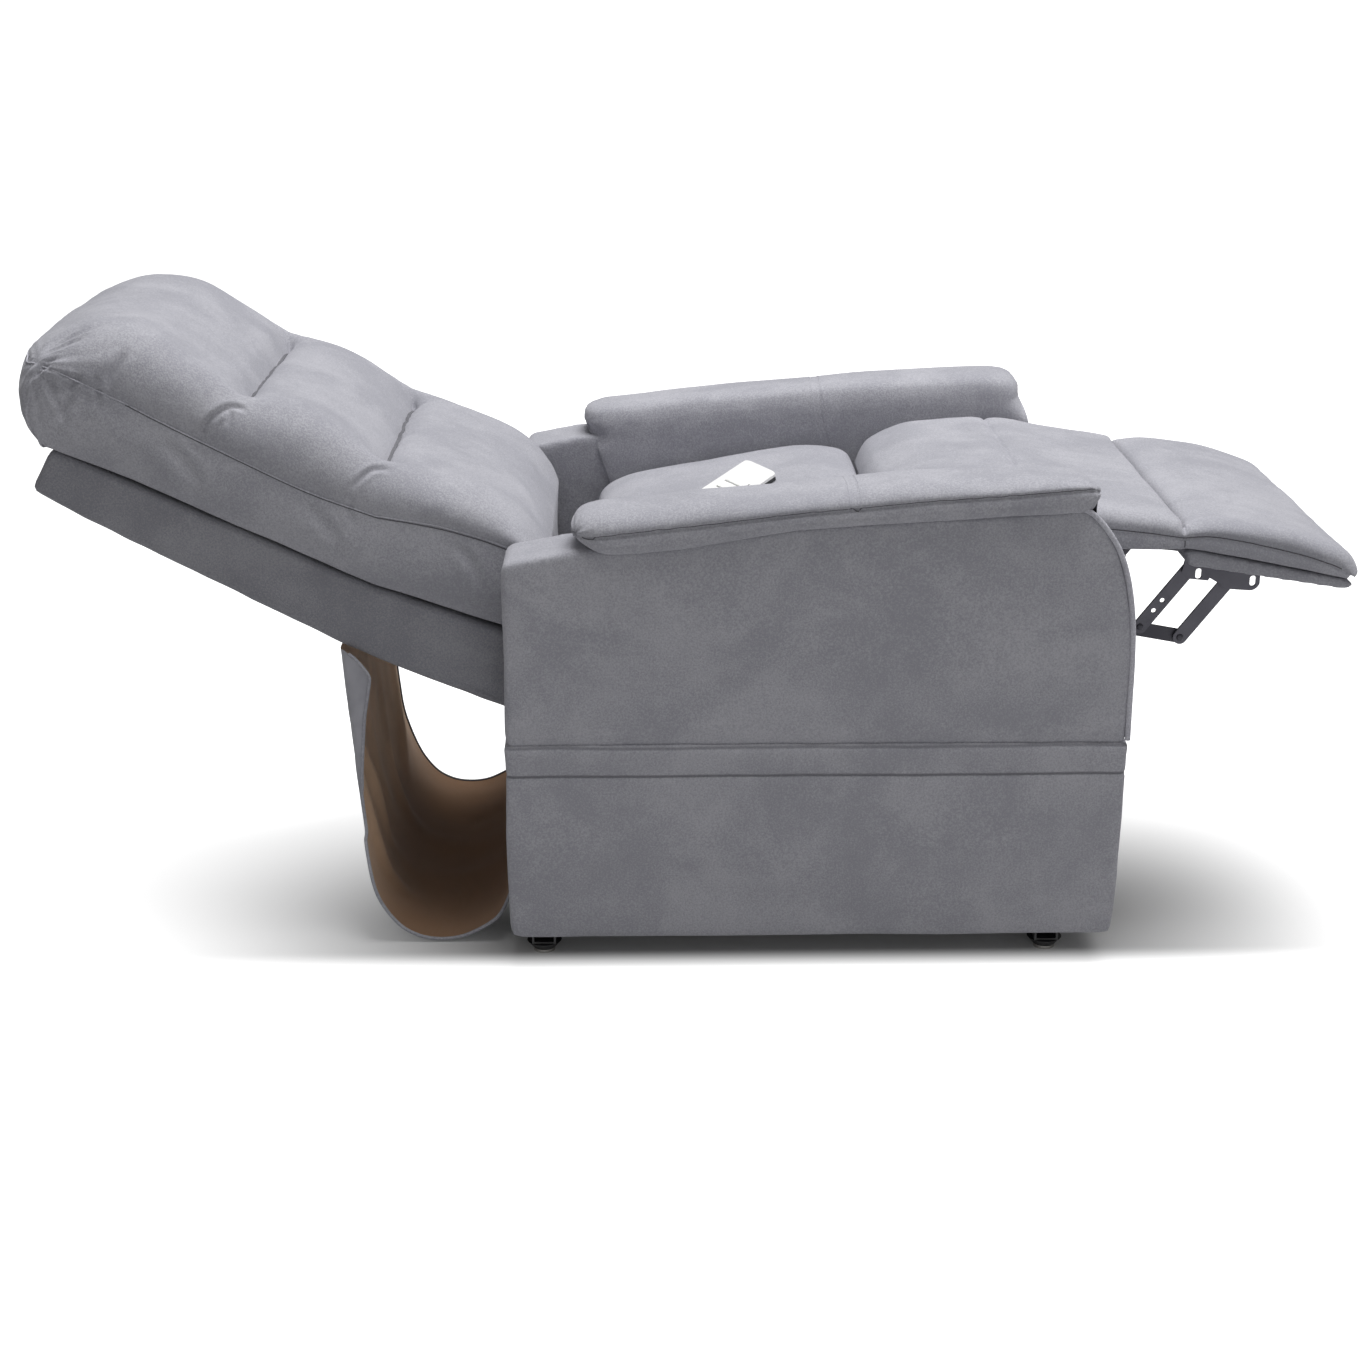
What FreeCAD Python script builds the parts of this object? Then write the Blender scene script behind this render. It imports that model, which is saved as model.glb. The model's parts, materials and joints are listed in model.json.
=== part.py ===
import FreeCAD, Part
import math
import os

import Sketcher

# Lift recliner chair, fully reclined with the legrest out and the lift down.
# X runs towards the foot end, Y towards the sitter's left, Z up, in millimetres.
# The origin is on the floor under the middle of the chair's outline.

V = FreeCAD.Vector
ALONG_Y = FreeCAD.Rotation(V(1, 0, 0), -90)
ALONG_X = FreeCAD.Rotation(V(0, 1, 0), 90)

SIZES = [
    # Floor frame
    ("foot_rear_x", -195, "rear feet"),
    ("foot_front_x", 446.5, "front feet"),
    ("foot_half_y", "=shell_half + 61.5", "feet from the middle"),
    ("foot_cone_radius", 22, "glide at its top"),
    ("foot_ring_radius", 13.5, "bright ring on the floor"),
    ("foot_ring_high", 4, "height of the ring"),
    ("floor_clear", 14, "underside of the floor frame"),
    ("floor_tube_high", 21, "floor tubes"),
    ("floor_tube_wide", 30, "floor tubes"),
    ("floor_tube_wall", 2.5, "floor tubes"),
    ("floor_bar_half", "=shell_half + 78", "crossbars, half length"),
    ("floor_rail_y", "=shell_half - 37", "side rails, middle line"),
    # Lift linkage
    ("lift_pivot_x", 342, "lift arm on the floor frame"),
    ("lift_pivot_z", 57, "lift arm on the floor frame"),
    ("lift_top_x", -180, "lift arm on the chassis"),
    ("lift_top_z", 86, "lift arm on the chassis"),
    ("front_pivot_x", 400, "front link on the floor frame"),
    ("front_pivot_z", 50, "front link on the floor frame"),
    ("front_top_x", 120, "front link on the chassis"),
    ("front_top_z", 60, "front link on the chassis"),
    ("lift_arm_round", 14, "half width of a lift arm"),
    ("lift_arm_thick", 14, "lift arm"),
    ("lift_arm_y", "=shell_half - 69", "lift arm, middle of its thickness"),
    ("front_link_round", 12, "half width of a front link"),
    ("front_link_thick", 10, "front link"),
    ("front_link_y", "=shell_half - 7", "front link, middle of its thickness"),
    ("stud_radius", 6, "pivot studs"),
    ("stud_play", 0.1, "a stud in its bore, on the radius"),
    ("link_play", 1, "side play between two links"),
    ("front_slot_play", 1.4, "front link on its upper stud, on the radius"),
    ("lug_thick", 6, "welded lugs"),
    ("lug_round", 14, "half width of a lug"),
    ("torque_tube", 26, "torque tube of the lift"),
    ("torque_wall", 2.5, "torque tube of the lift"),
    ("lift_lever_x", 297.5, "lift rod's pin"),
    ("lift_lever_z", 179, "lift rod's pin"),
    ("lift_drive_y", "=shell_half - 157", "lift motor from the middle"),
    ("lift_motor_x", -100, "lift motor's rear pivot"),
    ("lift_motor_z", 60, "lift motor's rear pivot"),
    # Linear motors
    ("motor_eye_round", 11, "eye at the motor's rear pivot"),
    ("motor_eye_wide", 14, "eye at the motor's rear pivot"),
    ("motor_block_long", 74, "gearbox"),
    ("motor_block_wide", 42, "gearbox"),
    ("motor_block_high", 46, "gearbox"),
    ("motor_can_radius", 20, "motor can"),
    ("motor_can_long", 86, "motor can"),
    ("lift_tube_long", 250, "lift motor's outer tube"),
    ("recline_tube_long", 225, "recline motor's outer tube"),
    ("leg_tube_long", 250, "footrest motor's outer tube"),
    ("lift_rod_from", 150, "lift rod's hidden end, from the motor's rear pivot"),
    ("recline_rod_from", 140, "recline rod's hidden end, from the motor's rear pivot"),
    ("leg_rod_from", 165, "footrest rod's hidden end, from the motor's rear pivot"),
    ("motor_tube_wide", 30, "outer tube, square"),
    ("rod_wide", 18, "inner tube, square"),
    ("rod_play", 0.5, "inner tube in the outer tube, on each side"),
    ("fork_round", 11, "fork at the rod's end"),
    ("fork_ear", 4, "thickness of one fork ear"),
    ("fork_reach", 39, "fork behind its pin"),
    ("yoke_thick", 10, "bridge of the fork, along the rod"),
    ("fork_pin_radius", 5, "pin across the fork"),
    ("lever_thick", 8, "slotted levers"),
    ("lever_round", 15, "slotted levers, half width"),
    ("slot_play", 1.2, "pin in a lever's slot, on the radius"),
    ("slot_inward", 7, "slot beyond the pin, towards the lever's pivot"),
    ("slot_outward", 1.4, "slot beyond the pin, away from the pivot"),
    # Chassis
    ("arm_outer", "=arm_inner + 100", "outer face of an arm"),
    ("arm_inner", "=shell_half + 18", "inner face of an arm"),
    ("arm_board_thick", 12, "arm board"),
    ("arm_band_proud", 3, "lower band stands proud of the cover"),
    ("arm_rear_x", -235.6, "rear edge of an arm"),
    ("arm_front_x", 527.3, "front edge of an arm"),
    ("arm_base_z", 39, "bottom edge of an arm"),
    ("arm_seam_z", 297, "joint between band and cover"),
    ("arm_rear_z", 525, "top of an arm at the rear edge"),
    ("arm_middle_x", 120, "where the arm's top levels out"),
    ("arm_middle_z", 569, "top of an arm there"),
    ("arm_nose_x", 457, "start of the curved front"),
    ("arm_nose_z", 587, "top of an arm there"),
    ("arm_nose_end_z", 452, "end of the curved front"),
    ("arm_nose_radius", 178, "curved front"),
    ("arm_corner", 14, "rounded corners of the arm"),
    ("plate_thick", 4, "mechanism plates"),
    ("plate_boss_half", 24, "half width of a plate's boss round the recline pivot"),
    ("plate_boss_round", 24.5, "a plate's round top over the recline pivot"),
    ("chassis_tube", 26, "chassis tubes"),
    ("chassis_tube_wall", 2.5, "chassis tubes"),
    ("chassis_rear_x", -213, "rear crossbar"),
    ("chassis_rear_z", 87, "rear crossbar"),
    ("chassis_front_x", 313, "front crossbar"),
    ("chassis_front_z", 225, "front crossbar"),
    ("recline_x", -123.5, "hinge of the back"),
    ("recline_z", 373.4, "hinge of the back"),
    ("recline_motor_x", 278, "recline motor's rear pivot"),
    ("recline_motor_z", 225, "recline motor's rear pivot"),
    ("recline_drive_y", "=157 - shell_half", "recline motor from the middle"),
    ("recline_lever_x", -83.5, "recline rod's pin"),
    ("recline_lever_z", 304.1, "recline rod's pin"),
    ("box_long", 160, "control box"),
    ("box_deep", 52, "control box"),
    ("box_high", 46, "control box"),
    ("box_x", 20, "control box"),
    ("box_z", 160, "control box"),
    # Arm pads
    ("pad_outer", "=arm_outer + 10", "outer edge of an arm pad"),
    ("pad_crest_y", "=arm_inner + 46", "crest of an arm pad"),
    ("pad_flap", 8, "flap of the pad down the inner face"),
    ("pad_flap_z", 432, "lower edge of the flap"),
    ("pad_rear_x", -150, "rear tip of a pad"),
    ("pad_front_x", 492, "front tip of a pad"),
    # Rear skirt
    ("skirt_half", "=shell_half + 10", "half width of the skirt"),
    ("skirt_thick", 4, "skirt with its lining"),
    ("skirt_low_z", 12, "lowest point of the hanging loop"),
    # Back
    ("shell_half", 252, "half width of the back shell"),
    ("cushion_half", "=shell_half + 5", "half width of the back cushion"),
    ("back_tube_x", -140, "back crossbar"),
    ("back_tube_z", 300, "back crossbar"),
    ("back_tube_wide", 26, "back crossbar"),
    ("back_tube_wall", 2.5, "back crossbar"),
    # Seat
    ("seat_rail_outer", "=shell_half - 2", "outer face of a seat rail"),
    ("seat_rail_wide", 24, "seat rail"),
    ("seat_rail_high", 36, "seat rail"),
    ("seat_rail_front_x", 409, "front end of the seat rails"),
    ("seat_slope", 8.4, "seat rails rise to the front, degrees"),
    ("cross_rail_wide", 24, "cross rails"),
    ("front_rail_raised", 6, "underside of the front cross rail above the seat rails' underside"),
    ("cross_rear_x", -95, "rear cross rail"),
    ("spring_wire", 4, "sinuous spring wire"),
    ("spring_radius", 24, "bends of a sinuous spring"),
    ("spring_step", 105, "from one spring to the next"),
    ("seat_half", "=shell_half + 3", "half width of the seat cushion"),
    ("seat_rear_x", -112, "rear end of the seat cushion"),
    ("seat_front_x", 237, "joint between seat cushion and front roll"),
    # Legrest
    ("hinge_x", 423, "legrest hinge"),
    ("hinge_z", 503, "legrest hinge"),
    ("drive_x", 365, "drive tube"),
    ("drive_z", 427, "drive tube"),
    ("drive_tube_wide", 20, "drive tube"),
    ("drive_tube_wall", 2.5, "drive tube"),
    ("rear_pin_x", 627, "rear link on the bracket"),
    ("rear_pin_z", 470.3, "rear link on the bracket"),
    ("front_pin_x", 679.3, "front link on the bracket"),
    ("front_pin_z", 456, "front link on the bracket"),
    ("leg_bar_round", 9, "half width of the legrest links"),
    ("leg_bar_thick", 4, "thickness of the legrest links"),
    ("drive_link_y", "=shell_half - 53", "drive link, middle of its thickness"),
    ("leg_stud_radius", 4, "studs of the legrest links"),
    ("leg_lever_x", 390.7, "legrest rod's pin"),
    ("leg_lever_z", 396.4, "legrest rod's pin"),
    ("leg_motor_x", -60, "legrest motor's rear pivot"),
    ("leg_motor_z", 330, "legrest motor's rear pivot"),
    ("leg_slot_inward", 9.4, "slot of the legrest lever towards its pivot"),
    ("leg_slot_play", 2, "pin in the legrest lever's slot"),
    ("pad_gap", 4, "gap between two pads at the legrest hinge"),
    ("roll_front_x", 421, "front face of the front roll"),
    ("bridge_front_x", 601, "joint between bridge pad and legrest pad"),
    ("leg_half", "=shell_half + 4", "half width of the legrest pads"),
    ("board_half", "=shell_half", "half width of the legrest board"),
    ("foot_end_x", 835, "foot end of the legrest pad"),
    ("strap_y", "=shell_half - 102", "hinge straps from the middle"),
    ("strap_wide", 24, "hinge straps"),
    ("strap_thick", 4, "hinge straps"),
    ("knuckle_radius", 6, "hinge knuckles"),
    # Handset
    ("handset_long", 150, "handset"),
    ("handset_wide", 42, "handset"),
    ("handset_low", 5, "case height at its near side"),
    ("handset_high", 26, "case height at its far side"),
    ("handset_face", 3.5, "thickness of the white face"),
    ("handset_round", 8, "corners of the handset"),
    ("key_long", 20, "rocker key"),
    ("key_wide", 28, "rocker key"),
    ("key_gap", 0.5, "play round a key"),
    ("key_proud", 2, "key above the face"),
]

doc = FreeCAD.newDocument("lift_recliner")
sheet = doc.addObject("Spreadsheet::Sheet", "dims")
for row, (alias, value, note) in enumerate(SIZES, start=1):
    sheet.set(f"A{row}", note)
    sheet.setAlias(f"B{row}", alias)
for row, (alias, value, note) in enumerate(SIZES, start=1):
    sheet.set(f"B{row}", str(value))
doc.recompute()


class Size:
    """A number together with the sheet formula that it comes from."""

    def __init__(self, value, formula):
        self.value = float(value)
        self.formula = formula

    def join(self, other, sign, value):
        return Size(value, f"({self.formula} {sign} {text(other)})")

    def __add__(self, other):
        return self.join(other, "+", self.value + num(other))

    def __sub__(self, other):
        return self.join(other, "-", self.value - num(other))

    def __mul__(self, other):
        return self.join(other, "*", self.value * num(other))

    def __truediv__(self, other):
        return self.join(other, "/", self.value / num(other))

    def __radd__(self, other):
        return Size(num(other) + self.value, f"({text(other)} + {self.formula})")

    def __rsub__(self, other):
        return Size(num(other) - self.value, f"({text(other)} - {self.formula})")

    def __rmul__(self, other):
        return Size(num(other) * self.value, f"({text(other)} * {self.formula})")

    def __neg__(self):
        return Size(-self.value, f"(0 - {self.formula})")

    def __float__(self):
        return self.value


def num(size):
    """The plain number of a size."""
    return float(size)


def text(size):
    """The sheet formula of a size."""
    return size.formula if isinstance(size, Size) else repr(float(size))


class Sheet:
    """The driving dimensions by name."""


d = Sheet()
for alias, value, note in SIZES:
    setattr(d, alias, Size(sheet.get(alias), "dims." + alias))

nodes = {}


def node(name, obj):
    """Names an object as one of the chair's pieces."""
    obj.Label = name
    nodes[name] = obj
    return obj


def bind(obj, **sizes):
    """Ties properties of an object to the sheet."""
    for prop, size in sizes.items():
        if isinstance(size, Size):
            obj.setExpression(prop, size.formula)
        else:
            setattr(obj, prop, size)
    return obj


def place(obj, x=0.0, y=0.0, z=0.0, turn=None):
    """Puts an object at a point, turned by a rotation."""
    obj.Placement = FreeCAD.Placement(V(num(x), num(y), num(z)), turn or FreeCAD.Rotation())
    for axis, size in (("x", x), ("y", y), ("z", z)):
        if isinstance(size, Size):
            obj.setExpression("Placement.Base." + axis, size.formula)
    return obj


def box(name, long, wide, high, x, y, z):
    """A box whose middle is at x, y, z."""
    shape = bind(doc.addObject("Part::Box", name), Length=long, Width=wide, Height=high)
    return place(shape, x - long / 2, y - wide / 2, z - high / 2)


def rod_y(name, radius, x, z, y_from, y_to):
    """A cylinder along Y between two y values."""
    shape = bind(doc.addObject("Part::Cylinder", name), Radius=radius, Height=y_to - y_from)
    return place(shape, x, y_from, z, ALONG_Y)


def fuse(name, *shapes):
    joined = doc.addObject("Part::MultiFuse", name)
    joined.Shapes = list(shapes)
    joined.Refine = False
    return joined


def cut(name, base, tool):
    result = doc.addObject("Part::Cut", name)
    result.Base = base
    result.Tool = tool
    result.Refine = False
    return result


def tube_y(name, high, wide, wall, x, z, y_from, y_to):
    """A square tube along Y, open at both ends."""
    long = y_to - y_from
    middle = y_from + long / 2
    outer = box(name + "_outer", wide, long, high, x, middle, z)
    bore = box(name + "_bore", wide - wall * 2, long + 2, high - wall * 2, x, middle, z)
    return cut(name, outer, bore)


def arc_centre(start, end, radius, centre_left):
    """Centre of a minor arc between two points."""
    dx, dz = end[0] - start[0], end[1] - start[1]
    chord = math.hypot(dx, dz)
    rise = math.sqrt(max(radius * radius - chord * chord / 4, 0.0))
    side = 1.0 if centre_left else -1.0
    return ((start[0] + end[0]) / 2 - side * rise * dz / chord,
            (start[1] + end[1]) / 2 + side * rise * dx / chord)


class Outline:
    """A closed sketch in the XZ plane whose points are tied to the sheet."""

    def __init__(self, name, body):
        self.sketch = body.newObject("Sketcher::SketchObject", name)
        plane = [part for part in body.Origin.OriginFeatures if part.Role == "XZ_Plane"][0]
        self.sketch.AttachmentSupport = (plane, [""])
        self.sketch.MapMode = "FlatFace"

    def pin(self, kind, *where):
        """Adds a constraint whose last value is a size."""
        size = where[-1]
        index = self.sketch.addConstraint(Sketcher.Constraint(kind, *where[:-1], num(size)))
        if isinstance(size, Size):
            self.sketch.setExpression(f"Constraints[{index}]", size.formula)

    def fix_point(self, geometry, point, x, z):
        self.pin("DistanceX", -1, 1, geometry, point, x)
        self.pin("DistanceY", -1, 1, geometry, point, z)

    def circle(self, x, z, radius):
        index = self.sketch.addGeometry(Part.Circle(V(num(x), num(z), 0), V(0, 0, 1), num(radius)))
        self.fix_point(index, 3, x, z)
        self.pin("Radius", index, radius)

    def bar(self, start, end, radius):
        """A bar with round ends between two points."""
        ax, az, bx, bz = (num(value) for value in (*start, *end))
        angle = math.atan2(bz - az, bx - ax)
        ox, oz = -math.sin(angle) * num(radius), math.cos(angle) * num(radius)
        quarter = math.pi / 2
        first = Part.ArcOfCircle(Part.Circle(V(ax, az, 0), V(0, 0, 1), num(radius)),
                                 angle + quarter, angle + 3 * quarter)
        last = Part.ArcOfCircle(Part.Circle(V(bx, bz, 0), V(0, 0, 1), num(radius)),
                                angle - quarter, angle + quarter)
        under = Part.LineSegment(V(ax - ox, az - oz, 0), V(bx - ox, bz - oz, 0))
        over = Part.LineSegment(V(bx + ox, bz + oz, 0), V(ax + ox, az + oz, 0))
        a, low, b, top = (self.sketch.addGeometry(shape) for shape in (first, under, last, over))
        for one, one_end, two, two_end in ((a, 2, low, 1), (low, 2, b, 1), (b, 2, top, 1), (top, 2, a, 1)):
            self.sketch.addConstraint(Sketcher.Constraint("Tangent", one, one_end, two, two_end))
        self.fix_point(a, 3, *start)
        self.fix_point(b, 3, *end)
        self.pin("Radius", a, radius)
        self.pin("Radius", b, radius)

    def path(self, points):
        """Lines and arcs through points given as x, z or as x, z, radius, centre_left."""
        corners = [(num(point[0]), num(point[1])) for point in points]
        count = len(points)
        ends = []
        for i, point in enumerate(points):
            start, end = corners[i], corners[(i + 1) % count]
            step = points[(i + 1) % count]
            if len(step) == 2:
                index = self.sketch.addGeometry(Part.LineSegment(V(*start, 0), V(*end, 0)))
                ends.append((index, 1, 2))
            else:
                radius, left = num(step[2]), step[3]
                centre = arc_centre(start, end, radius, left)
                a = math.atan2(start[1] - centre[1], start[0] - centre[0])
                b = math.atan2(end[1] - centre[1], end[0] - centre[0])
                circle = Part.Circle(V(*centre, 0), V(0, 0, 1), radius)
                arc = Part.ArcOfCircle(circle, a, b) if left else Part.ArcOfCircle(circle, b, a)
                index = self.sketch.addGeometry(arc)
                ends.append((index, 1, 2) if left else (index, 2, 1))
                self.pin("Radius", index, step[2])
        for i in range(count):
            this, after = ends[i], ends[(i + 1) % count]
            joined = Sketcher.Constraint("Coincident", this[0], this[2], after[0], after[1])
            self.sketch.addConstraint(joined)
            self.fix_point(this[0], this[1], points[i][0], points[i][1])


def pad_body(name, y, thick, draw):
    """A body padded both ways from y, with the outline that draw makes."""
    body = doc.addObject("PartDesign::Body", name)
    draw(Outline(name + "_outline", body))
    pad = body.newObject("PartDesign::Pad", name + "_pad")
    pad.Profile = body.Group[0]
    pad.SideType = "Symmetric"
    bind(pad, Length=thick)
    return place(body, 0.0, y, 0.0)


def bar(name, start, end, radius, y, thick, holes=(), slots=()):
    """A flat bar with round ends, holes (x, z, radius) and slots (start, end, radius)."""

    def draw(outline):
        outline.bar(start, end, radius)
        for x, z, hole in holes:
            outline.circle(x, z, hole)
        for slot_start, slot_end, half in slots:
            outline.bar(slot_start, slot_end, half)

    return pad_body(name, y, thick, draw)


def tab(name, root, tip, root_half, radius, y, thick, holes=(), slots=()):
    """A flat tab with a straight root and a tip of four flats."""
    ax, az, bx, bz = (num(value) for value in (*root, *tip))
    along = math.atan2(bz - az, bx - ax)
    rim = []
    for share in (-1.0, -0.5, 0.0, 0.5, 1.0):
        angle = along + share * math.pi / 2
        rim.append((tip[0] + radius * math.cos(angle), tip[1] + radius * math.sin(angle)))
    across = (math.sin(along), -math.cos(along))
    return plate(name, [
        (root[0] + root_half * across[0], root[1] + root_half * across[1]),
        *rim,
        (root[0] - root_half * across[0], root[1] - root_half * across[1])], y, thick, holes, slots)


def plate(name, points, y, thick, holes=(), slots=()):
    """A flat plate with a drawn outline, holes and slots."""

    def draw(outline):
        outline.path(points)
        for x, z, hole in holes:
            outline.circle(x, z, hole)
        for slot_start, slot_end, half in slots:
            outline.bar(slot_start, slot_end, half)

    return pad_body(name, y, thick, draw)


def round_edges(body, radius, wanted):
    """Rounds the edges of a body that wanted picks, as a PartDesign fillet."""
    doc.recompute()
    tip = body.Tip
    picked = [f"Edge{i + 1}" for i, edge in enumerate(tip.Shape.Edges) if wanted(edge)]
    fillet = body.newObject("PartDesign::Fillet", body.Name + "_round")
    fillet.Base = (tip, picked)
    bind(fillet, Radius=radius)
    return body


def along_y(edge):
    return abs(edge.tangentAt(edge.FirstParameter).y) > 0.99


SIDES = (("left", 1.0), ("right", -1.0))


# Floor frame

floor_middle_z = d.floor_clear + d.floor_tube_high / 2
rail_inner = d.floor_rail_y - d.floor_tube_wide / 2
rail_outer = d.floor_rail_y + d.floor_tube_wide / 2
stud_bore = d.stud_radius + d.stud_play


def floor_rail(side, sign):
    """A floor rail with the lug of the lift arm inside it and of the front link outside it."""
    name = "base_rail_" + side
    x_from = d.foot_rear_x + d.floor_tube_wide / 2
    x_to = d.foot_front_x - d.floor_tube_wide / 2
    long = x_to - x_from
    y = d.floor_rail_y * sign
    outer = box(name + "_outer", long, d.floor_tube_wide, d.floor_tube_high,
                x_from + long / 2, y, floor_middle_z)
    bore = box(name + "_bore", long + 2, d.floor_tube_wide - d.floor_tube_wall * 2,
               d.floor_tube_high - d.floor_tube_wall * 2, x_from + long / 2, y, floor_middle_z)
    tube = cut(name + "_tube", outer, bore)
    low = d.floor_clear
    inner_y = (rail_inner - d.lug_thick / 2) * sign
    outer_y = (rail_outer + d.lug_thick / 2) * sign
    arm_lug = tab(name + "_arm_lug", (d.lift_pivot_x, low), (d.lift_pivot_x, d.lift_pivot_z),
                  d.lug_round + 6, d.lug_round, inner_y, d.lug_thick)
    link_lug = tab(name + "_link_lug", (d.front_pivot_x, low), (d.front_pivot_x, d.front_pivot_z),
                   d.lug_round + 6, d.lug_round, outer_y, d.lug_thick)
    arm_in = d.lift_arm_y - d.lift_arm_thick / 2
    link_out = d.front_link_y + d.front_link_thick / 2
    arm_stud = stud(name + "_arm_stud", d.lift_pivot_x, d.lift_pivot_z,
                    arm_in, rail_inner - d.lug_thick / 2, sign)
    link_stud = stud(name + "_link_stud", d.front_pivot_x, d.front_pivot_z,
                     rail_outer + d.lug_thick / 2, link_out, sign)
    return node(name, fuse(name, tube, arm_lug, link_lug, arm_stud, link_stud))


def stud(name, x, z, near, far, sign, radius=None):
    """A stud along Y between two distances from the middle, on one side of the chair."""
    y_from, y_to = (near, far) if sign > 0 else (-far, -near)
    return rod_y(name, radius or d.stud_radius, x, z, y_from, y_to)


for side, sign in SIDES:
    floor_rail(side, sign)

node("base_front_crossbar",
     tube_y("base_front_crossbar", d.floor_tube_high, d.floor_tube_wide, d.floor_tube_wall,
            d.foot_front_x, floor_middle_z, -d.floor_bar_half, d.floor_bar_half))

motor_gap = d.motor_eye_wide / 2 + d.link_play / 2


def motor_clevis(name, x, z, anchor, root_half, y):
    """Two cheeks that hold a motor's rear eye, with the pin across them."""
    cheek_y = motor_gap + d.lug_thick / 2
    cheeks = [tab(f"{name}_cheek{i}", anchor, (x, z), root_half, d.motor_eye_round,
                  y + cheek_y * side, d.lug_thick)
              for i, side in enumerate((1.0, -1.0))]
    half = cheek_y + d.lug_thick / 2
    pin = rod_y(name + "_pin", d.stud_radius, x, z, y - half, y + half)
    return cheeks + [pin]


rear_tube = tube_y("base_rear_tube", d.floor_tube_high, d.floor_tube_wide, d.floor_tube_wall,
                   d.foot_rear_x, floor_middle_z, -d.floor_bar_half, d.floor_bar_half)
node("base_rear_crossbar",
     fuse("base_rear_crossbar", rear_tube,
          *motor_clevis("lift_clevis", d.lift_motor_x, d.lift_motor_z,
                        (d.foot_rear_x + d.floor_tube_wide / 2, floor_middle_z + 2), d.floor_tube_high * 0.4,
                        d.lift_drive_y)))


def glide(name, x, y):
    """A round glide: a black cone with a short neck under the tube."""
    cone = bind(doc.addObject("Part::Cone", name + "_cone"), Radius1=d.foot_ring_radius,
                Radius2=d.foot_cone_radius, Height=d.floor_clear - d.foot_ring_high)
    return place(cone, x, y, d.foot_ring_high)


def ring(name, x, y):
    """The bright ring that stands on the floor."""
    disc = bind(doc.addObject("Part::Cylinder", name + "_disc"),
                Radius=d.foot_ring_radius, Height=d.foot_ring_high)
    return place(disc, x, y, 0.0)


feet = [(x, d.foot_half_y * sign) for x in (d.foot_rear_x, d.foot_front_x) for side, sign in SIDES]
for label, make in (("foot_glides", glide), ("foot_rings", ring)):
    pieces = [make(f"{label}_{i}", x, y) for i, (x, y) in enumerate(feet)]
    group = doc.addObject("Part::Compound", label)
    group.Links = pieces
    node(label, group)


# Lift linkage

for side, sign in SIDES:
    name = "lift_arm_" + side
    node(name, bar(name, (d.lift_pivot_x, d.lift_pivot_z), (d.lift_top_x, d.lift_top_z), d.lift_arm_round,
                   d.lift_arm_y * sign, d.lift_arm_thick,
                   holes=((d.lift_pivot_x, d.lift_pivot_z, stud_bore),
                          (d.lift_top_x, d.lift_top_z, stud_bore))))


def toward(start, end, distance):
    """The point at a distance from end, further along the line from start."""
    ax, az, bx, bz = (num(value) for value in (*start, *end))
    long = math.hypot(bx - ax, bz - az)
    ux, uz = (bx - ax) / long, (bz - az) / long
    return (end[0] + distance * ux, end[1] + distance * uz)


def slotted_lever(name, root, pivot, pin, y, inward, outward, play):
    """A lever welded to its tube at root, with a slot for a fork's pin along the line from the pivot."""
    half = d.fork_pin_radius + play
    slot = (toward(pivot, pin, -inward), toward(pivot, pin, outward), half)
    return tab(name, root, pin, d.lever_round, d.lever_round, y, d.lever_thick, slots=(slot,))


lift_pivot = (d.lift_pivot_x, d.lift_pivot_z)
lift_pivot_up = (d.lift_pivot_x - 0.01, d.lift_pivot_z + 0.03)
torque_half = d.lift_arm_y - d.lift_arm_thick / 2
torque_tube = tube_y("torque_pipe", d.torque_tube, d.torque_tube, d.torque_wall, *lift_pivot,
                     -torque_half, torque_half)
lever_root = toward(lift_pivot, lift_pivot_up, d.torque_tube / 2 - 1)
lift_lever = slotted_lever("lift_lever", lever_root, lift_pivot, (d.lift_lever_x, d.lift_lever_z),
                           d.lift_drive_y, d.slot_inward, d.slot_outward, d.slot_play)
node("lift_torque_tube", fuse("lift_torque_tube", torque_tube, lift_lever))

link_pieces = []
for side, sign in SIDES:
    link_pieces.append(bar("front_lift_link_" + side, (d.front_pivot_x, d.front_pivot_z),
                           (d.front_top_x, d.front_top_z), d.front_link_round,
                           d.front_link_y * sign, d.front_link_thick,
                           holes=((d.front_pivot_x, d.front_pivot_z, stud_bore),
                                  (d.front_top_x, d.front_top_z, d.stud_radius + d.front_slot_play))))
front_links = doc.addObject("Part::Compound", "front_lift_links")
front_links.Links = link_pieces
node("front_lift_links", front_links)


# Linear motors, drawn along X from the rear pivot and then turned into place


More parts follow.
